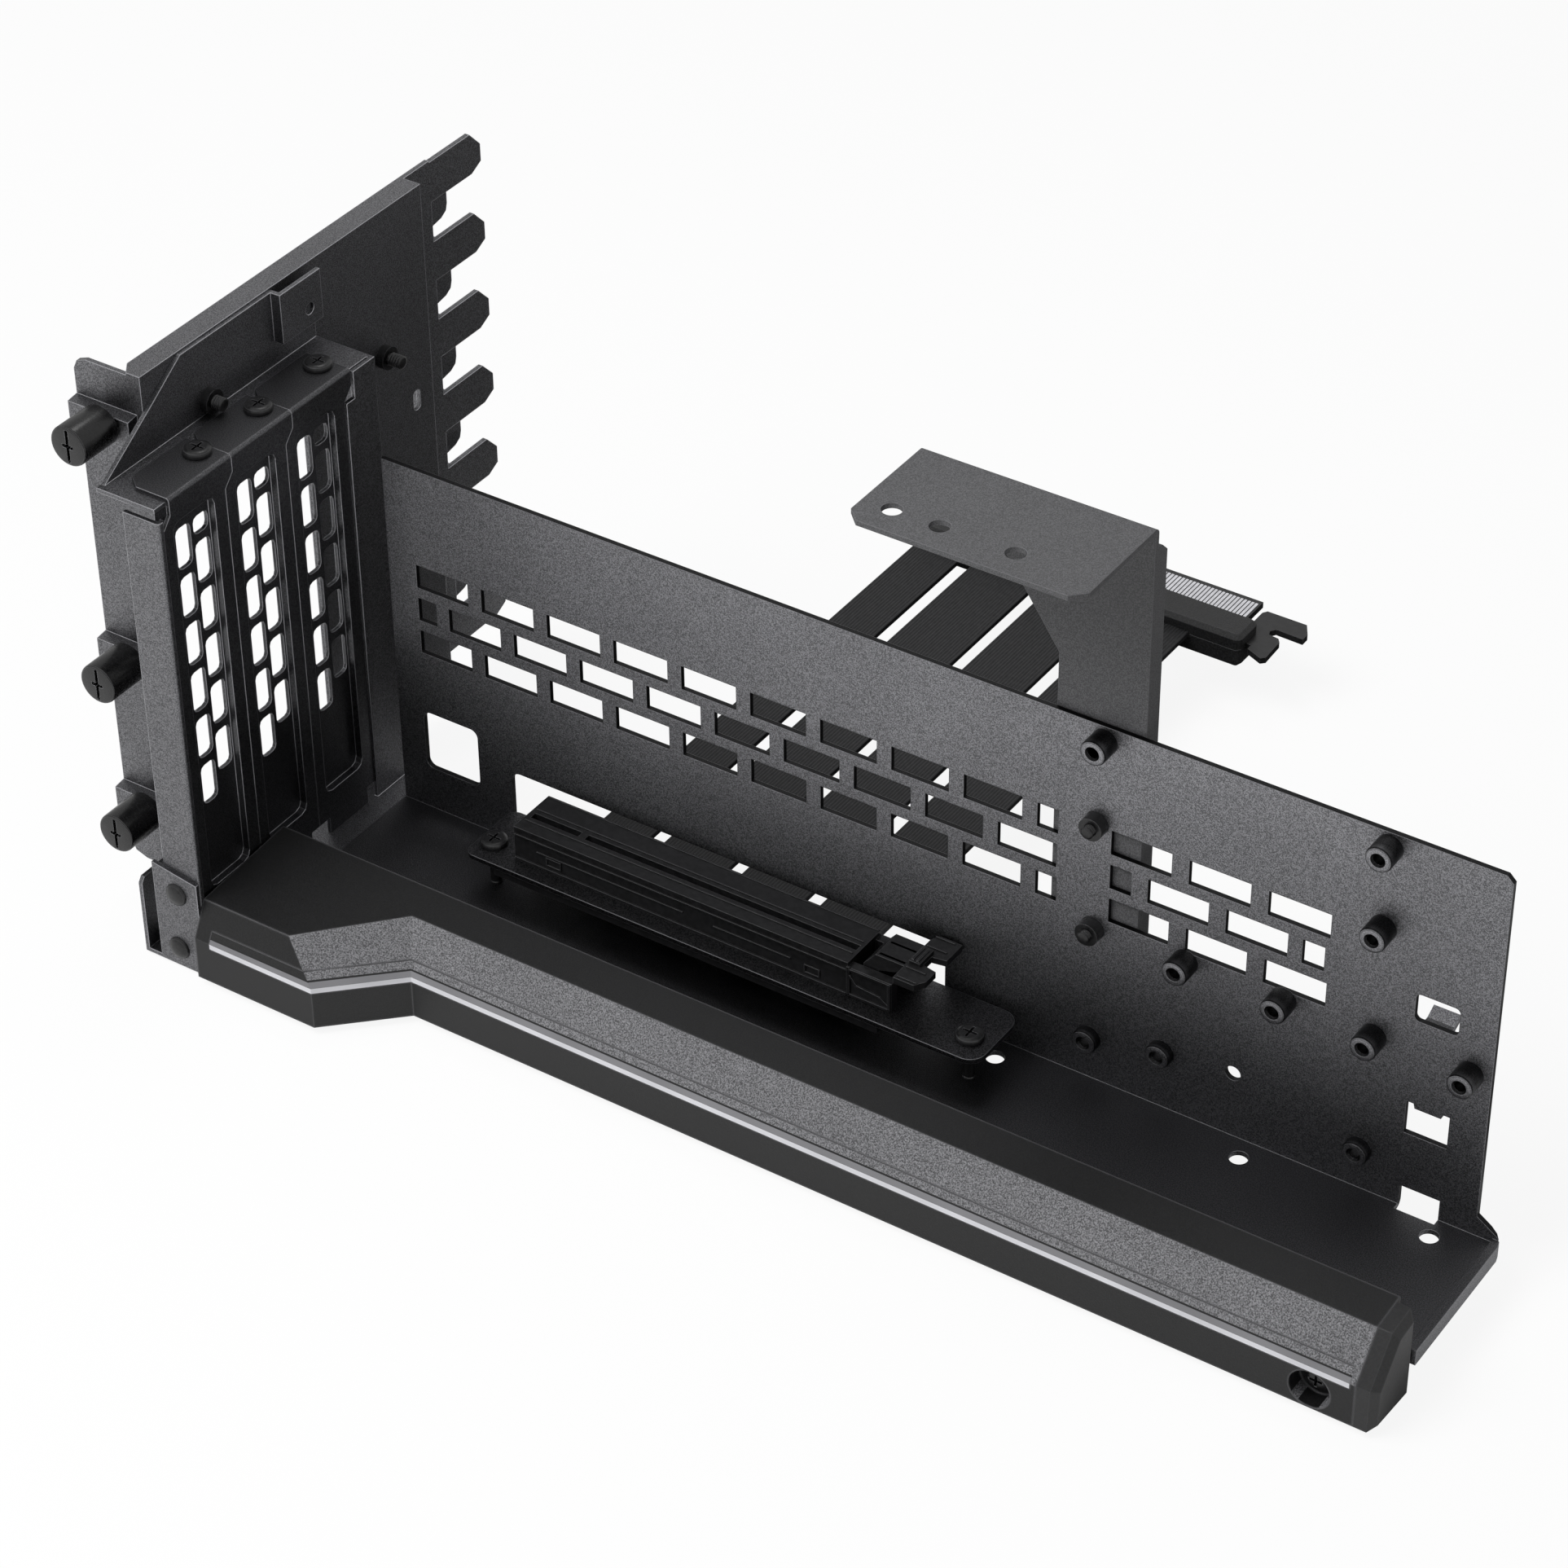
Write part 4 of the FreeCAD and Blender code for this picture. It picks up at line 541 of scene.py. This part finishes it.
def slanted_bar(mesh, start, end, thick, span):
    """Rib on an upright face, between two points given as x and z, over a span of y."""
    (x0, z0), (x1, z1) = start, end
    run = Vector((x1 - x0, z1 - z0)).normalized() * thick / 2
    outline = [(x0 + run.y, z0 - run.x), (x1 + run.y, z1 - run.x), (x1 - run.y, z1 + run.x),
               (x0 - run.y, z0 + run.x)]
    loft(mesh, [[(x, y, z) for x, z in outline] for y in span])


def ring(mesh, turn, radius, level):
    """Circle of vertices round a turned axis."""
    angles = [2 * math.pi * i / ROUND for i in range(ROUND)]
    points = [(radius * math.cos(angle), radius * math.sin(angle), level) for angle in angles]
    return [mesh.verts.new(turn @ (Vector(point) * MM)) for point in points]


def lathe(mesh, spot, axis, profile):
    """Open turned surface at a spot, from radii and levels. Gives its turn and its rings."""
    lie = Vector(axis).to_track_quat("Z", "Y").to_matrix().to_4x4()
    turn = Matrix.Translation(at(*spot)) @ lie
    loops = [ring(mesh, turn, radius, level) for radius, level in profile]
    for first, second in zip(loops, loops[1:]):
        band(mesh, first, second)
    return turn, loops


def recess(mesh, turn, rim, level, arms, depth):
    """Close a round face but for a cross-shaped recess, which narrows towards its floor."""
    long, short, half = arms
    across, along = RECESS_FLOOR
    outline = [(half, half), (half, long), (-half, long), (-half, half), (-short, half),
               (-short, -half), (-half, -half), (-half, -long), (half, -long), (half, -half),
               (short, -half), (short, half)]
    top = [mesh.verts.new(turn @ (Vector((x, y, level)) * MM)) for x, y in outline]
    low = [mesh.verts.new(turn @ (Vector((x * across, y * along, level - depth)) * MM))
           for x, y in outline]
    pairs = [pair for loop in (rim, top) for pair in zip(loop, loop[1:] + loop[:1])]
    edges = [mesh.edges.get(pair) or mesh.edges.new(pair) for pair in pairs]
    bmesh.ops.triangle_fill(mesh, edges=edges, use_beauty=True)
    band(mesh, top, low)
    mesh.faces.new(low)


def turned(name, replaced, spots, axis, profile, cross=None, body="frame", paint=None):
    """Steel fasteners turned at several spots, each closed by a flat face or a cross recess."""
    mesh = bmesh.new()
    for spot in spots:
        turn, loops = lathe(mesh, spot, axis, profile)
        mesh.faces.new(loops[0])
        if cross:
            arms, depth = cross
            recess(mesh, turn, loops[-1], profile[-1][1], arms, depth)
        else:
            mesh.faces.new(loops[-1])
    new_piece(name, mesh, "black_steel", body, replaced, paint=paint)


def thread(start, end, radius, pitch=0.7, groove=0.22):
    """Profile of a threaded end, as ridges and grooves."""
    steps = [(radius - groove - 0.2, start)]
    for i in range(int((end - start) / pitch)):
        level = start + i * pitch
        steps += [(radius - groove, level + 0.1 * pitch), (radius, level + 0.45 * pitch),
                  (radius, level + 0.6 * pitch), (radius - groove, level + 0.95 * pitch)]
    return steps


def pan_head(radius):
    """Profile of a flat pan head with a rounded rim."""
    return [(radius, 0.0), (radius + 0.1, 0.1), (radius + 0.1, 0.85), (radius - 0.08, 1.2),
            (radius * 0.84, 1.45), (radius * 0.72, 1.55), (radius * 0.69, 1.56)]


# Fasteners. Spots and profiles are in the drawing's millimetres.

UP, BACK, FRONT, LEFT = (0, 0, 1), (0, 1, 0), (0, -1, 0), (-1, 0, 0)
SLOT_PITCH = 20.32
TALL_STANDOFF = 5.2
LOW_STANDOFF = 2.5
# Spots on the panel, as x and z
TALL_SPOTS = ((19.7, 88.4), (83.5, 88.5), (83.6, 68.6), (40.5, 40.9), (63.2, 41.1), (83.6, 40.8),
              (105.1, 40.9))
LOW_SPOTS = ((18.6, 10.7), (36.1, 14.7), (82.5, 10.3))
COVER_SCREWS = [(-175.6, -43.5 + SLOT_PITCH * k, 112.5) for k in range(3)]
# Spots on the riser's base, as x and y, and the height of its top
BASE_SCREWS = ((-126.3, -13.9), (-2.3, -13.5))
BASE_TOP = 10.6
ARM_SCREWS = ((18.6, 2.4, 67.4), (18.6, 2.4, 40.1))
FRAME_SCREWS = ((-186.8, -28.8, 114.8), (-186.8, 31.3, 94))
TRIM_SCREW = (100.6, -48.5, -4.6)
RIVETS = ((-174.6, -66, 9.7), (-175.4, -66, -5.6))
# Top thumb screw, and how many slots down each of the three is
THUMB_TOP = (-194.4, -51.4, 117.4)
THUMB_SLOTS = (0, 3, 5)


def make_fasteners():
    """Screws, posts, rivets and thumb screws, in place of their plain solids."""
    turned("cover_screw_heads", "cover_screws", COVER_SCREWS, UP,
           [(1.45, -4.4), (1.45, 0.0)] + pan_head(3.1), SMALL_CROSS)
    turned("base_screw_heads", "riser_base_screws", [(x, y, BASE_TOP) for x, y in BASE_SCREWS], UP,
           [(1.3, -1.2), (1.3, 0.0)] + pan_head(3.1), SMALL_CROSS)
    turned("riser_post_rods", "riser_posts", [(x, y, 0) for x, y in BASE_SCREWS], UP,
           [(1.5, 0.0), (1.5, 0.3), (1.32, 0.5), (1.32, 8.9), (1.5, 9.1), (1.5, 9.4)])
    turned("arm_screw_heads", "arm_screws", ARM_SCREWS, BACK,
           thread(-6.9, -5.3, 1.42) + [(1.42, -5.2), (1.42, 0.0)] + pan_head(2.7), SMALL_CROSS)
    turned("frame_screw_heads", "frame_screws", FRAME_SCREWS, LEFT,
           thread(-6.8, -2.6, 1.58) + [(1.58, -2.5), (1.58, 0.0)] + pan_head(2.8), SMALL_CROSS)
    turned("trim_screw_head", "trim_screw", [TRIM_SCREW], FRONT,
           [(1.45, -7.4), (1.45, 0.0), (2.8, 0.0), (2.8, 0.9), (2.5, 1.35), (1.9, 1.65),
            (1.4, 1.75)], SMALL_CROSS)
    turned("rivet_domes", "corner_rivets", RIVETS, FRONT,
           [(1.55, -1.9), (1.55, 0.0), (2.8, 0.02), (2.78, 0.22), (2.5, 0.66), (1.9, 1.02),
            (1.1, 1.24), (0.4, 1.3)])
    shank = thread(-11.9, -5.1, 1.48, 0.8) + [(1.73, -5.0), (1.73, 0.0)]
    knob = [(4.35, 0.0), (4.75, 0.4), (4.75, 10.3), (4.66, 10.62), (4.45, 10.83), (4.15, 10.9)]
    x, y, z = THUMB_TOP
    for number, slots in enumerate(THUMB_SLOTS, start=1):
        turned(f"thumb_screw_body_{number}", f"thumb_screw_{number}",
               [(x, y, z - SLOT_PITCH * slots)], FRONT, shank + knob, THUMB_CROSS,
               body=f"thumb_{number}", paint="thumb_black")


def make_standoffs():
    """Painted tubes on the panel, with a deep bore: tall ones, and low ones near the floor."""
    mesh = bmesh.new()
    for spots, height in ((TALL_SPOTS, TALL_STANDOFF), (LOW_SPOTS, LOW_STANDOFF)):
        profile = [(1.25, -1.2), (2.0, -1.2), (2.0, 0.0), (2.95, 0.0), (2.95, height - 0.5),
                   (2.75, height - 0.12), (2.45, height), (1.65, height), (1.45, height - 0.3),
                   (1.25, height - 0.5)]
        for x, z in spots:
            _, loops = lathe(mesh, (x, 0, z), FRONT, profile)
            band(mesh, loops[-1], loops[0])
    new_piece("panel_standoff_tubes", mesh, "black_steel", "frame", "panel_standoffs",
              paint="tube_paint_shaded_sides")


# Slot and latch. Ribs are in the drawing's millimetres.

SLOT_FRONT = -15.7
# Ribs on the housing's front: their ends along X, their heights, and how far they stand out
FRONT_RIBS = (((-118.9, -31.8), (17.2, 17.6), 0.3), ((-113.0, -74.0), (14.6, 14.9), 0.3),
              ((-66.0, -46.0), (14.2, 14.5), 0.3), ((-118.9, -31.8), (10.6, 11.3), 0.45))
# Small moulded frames on the front: their left edges, how far they stand out, and the lines of
# one, as two corners from its left edge
FRAME_LEFTS = (-110.5, -42.5)
FRAME_PROUD = 0.28
FRAME_LINES = (((0.0, 12.4), (0.3, 14.0)), ((3.7, 12.4), (4.0, 14.0)), ((0.0, 12.1), (4.0, 12.4)),
               ((0.0, 14.0), (4.0, 14.3)))
# Lines along the top of the housing, as two corners
TOP_LINES = (((-118.4, -12.55, 19.3), (-32.4, -12.3, 19.55)),
             ((-118.4, -8.1, 19.3), (-32.4, -7.85, 19.55)),
             ((-118.9, -3.1, 19.3), (-31.8, -2.7, 19.5)))
# Brace on the cheek beside the latch: how far it stands out, and two points as x and z with a
# width for each rib
CHEEK_PROUD = 0.45
CHEEK_BARS = (((-31.2, 11.0), (-31.2, 18.6), 0.7), ((-31.2, 11.1), (-20.8, 11.1), 0.7),
              ((-21.0, 11.0), (-21.0, 18.0), 0.6), ((-30.9, 16.4), (-29.2, 14.2), 0.45),
              ((-29.2, 14.2), (-23.4, 13.6), 0.45), ((-23.4, 13.6), (-21.2, 12.2), 0.45),
              ((-31.0, 17.9), (-20.8, 17.9), 0.5))
# Ribs of the latch's grip, as two corners, and where its row of short ribs starts along Y
GRIP_BARS = (((-18.6, -11.9, 22.3), (-15.9, -6.3, 23.2)),
             ((-18.2, -11.4, 23.2), (-17.7, -6.8, 23.5)),
             ((-17.0, -11.4, 23.2), (-16.5, -6.8, 23.5)))
GRIP_ROW = (-17.0, -13.4, -5.0, -1.5)
LEVER_BARS = (((-25.6, -12.6, 19.6), (-19.2, -12.0, 22.3)),
              ((-25.6, -8.2, 19.6), (-19.2, -7.6, 22.3)))


def make_slot_ribs():
    """Moulded lines of the slot's housing, its end brace and the grip of the latch."""
    mesh = bmesh.new()
    for (x0, x1), (z0, z1), proud in FRONT_RIBS:
        bar(mesh, (x0, SLOT_FRONT - proud, z0), (x1, SLOT_FRONT, z1))
    for x in FRAME_LEFTS:
        for (x0, z0), (x1, z1) in FRAME_LINES:
            bar(mesh, (x + x0, SLOT_FRONT - FRAME_PROUD, z0), (x + x1, SLOT_FRONT, z1))
    for low, high in TOP_LINES:
        bar(mesh, low, high)
    for start, end, thick in CHEEK_BARS:
        slanted_bar(mesh, start, end, thick, (SLOT_FRONT - CHEEK_PROUD, SLOT_FRONT))
    new_piece("slot_moulding", mesh, "slot_plastic", "frame", smooth=False)

    mesh = bmesh.new()
    row = tuple(((-18.4, y, 22.3), (-13.6, y + 0.35, 22.6)) for y in GRIP_ROW)
    for low, high in GRIP_BARS + row + LEVER_BARS:
        bar(mesh, low, high)
    new_piece("latch_grip", mesh, "slot_plastic", "latch", smooth=False)


# Contacts, plug and ribbon cables, in the drawing's millimetres

CONTACT_PITCH = 1.0
# First one along X and how many, on each side of the key
FINGER_RUNS = ((-112.8, 11), (-98.45, 69))
CONTACT_RUNS = ((-117.2, 12), (-102.6, 70))
FINGER_HALF = 0.36
FINGER_CLIP = 0.12
FINGER_SPAN = (153.8, 163.1)
FINGER_LEVELS = ((8.05, 8.1), (6.4, 6.45))
CONTACT_HALF = 0.3
GROOVE_MIDDLE = -10.2
GROOVE_HALF = 0.9
# Section of a contact: how far it stands off the groove's wall, and its height
CONTACT_SECTION = ((0.0, 11.0), (0.2, 11.0), (0.42, 15.4), (0.34, 16.8), (0.08, 17.5), (0.0, 17.5))
# Edges of each cable along X, their levels, and the places of their rings along Y
RIBBON_EDGES = ((-113.2, -100.3), (-96.7, -79.2), (-75.8, -58.9), (-55.1, -38.5))
RIBBON_LEVELS = (6.5, 8.0)
RIBBON_RINGS = (1.0, 50.0, 100.0, 147.2)
WIRE_PITCH = 0.8
# Section of one wire: how far along its pitch, and how far below the ridge
WIRE_SECTION = ((0.08, 0.16), (0.3, 0.02), (0.5, 0.0), (0.7, 0.02), (0.92, 0.16))


def places(runs):
    """Places along X of the contacts or fingers in some runs."""
    return [start + i * CONTACT_PITCH for start, count in runs for i in range(count)]


def make_fingers():
    """Contact fingers with clipped ends on both faces of the plug's board."""
    mesh = bmesh.new()
    y0, y1 = FINGER_SPAN
    for x in places(FINGER_RUNS):
        x0, x1 = x - FINGER_HALF, x + FINGER_HALF
        outline = [(x0, y0), (x1, y0), (x1, y1 - FINGER_CLIP), (x1 - FINGER_CLIP, y1),
                   (x0 + FINGER_CLIP, y1), (x0, y1 - FINGER_CLIP)]
        for levels in FINGER_LEVELS:
            loft(mesh, [[(*point, level) for point in outline] for level in levels])
    new_piece("plug_finger_rows", mesh, "finger_metal", "frame", "plug_fingers", smooth=False)


def make_contacts():
    """Sprung contacts along both walls of the slot's groove."""
    mesh = bmesh.new()
    for x in places(CONTACT_RUNS):
        for side in (-1, 1):
            wall = GROOVE_MIDDLE + side * GROOVE_HALF
            loft(mesh, [[(x + step, wall - side * stand, z) for stand, z in CONTACT_SECTION]
                        for step in (-CONTACT_HALF, CONTACT_HALF)])
    new_piece("slot_contact_springs", mesh, "contact_metal", "frame", "slot_contacts",
              smooth=False)


def make_ribbons():
    """Ribbon cables with a shallow ridge over every wire and round edges."""
    low, high = RIBBON_LEVELS
    middle, half = (low + high) / 2, (high - low) / 2
    for number, (left, right) in enumerate(RIBBON_EDGES, start=1):
        wires = round((right - left) / WIRE_PITCH)
        pitch = (right - left) / wires
        top = [(left + i * pitch + step * pitch, half - drop) for i in range(wires)
               for step, drop in WIRE_SECTION]
        outline = [(x, middle + z) for x, z in top] + [(x, middle - z) for x, z in reversed(top)]
        mesh = bmesh.new()
        loft(mesh, [[(x, y, z) for x, z in outline] for y in RIBBON_RINGS])
        new_piece(f"ribbon_cable_{number}", mesh, "ribbon", "frame", f"ribbon_{number}")


make_camera()
make_floor()
make_flag()
make_light()
PAINTS = make_paints()
paint_nodes()
make_fasteners()
make_standoffs()
make_slot_ribs()
make_fingers()
make_contacts()
make_ribbons()
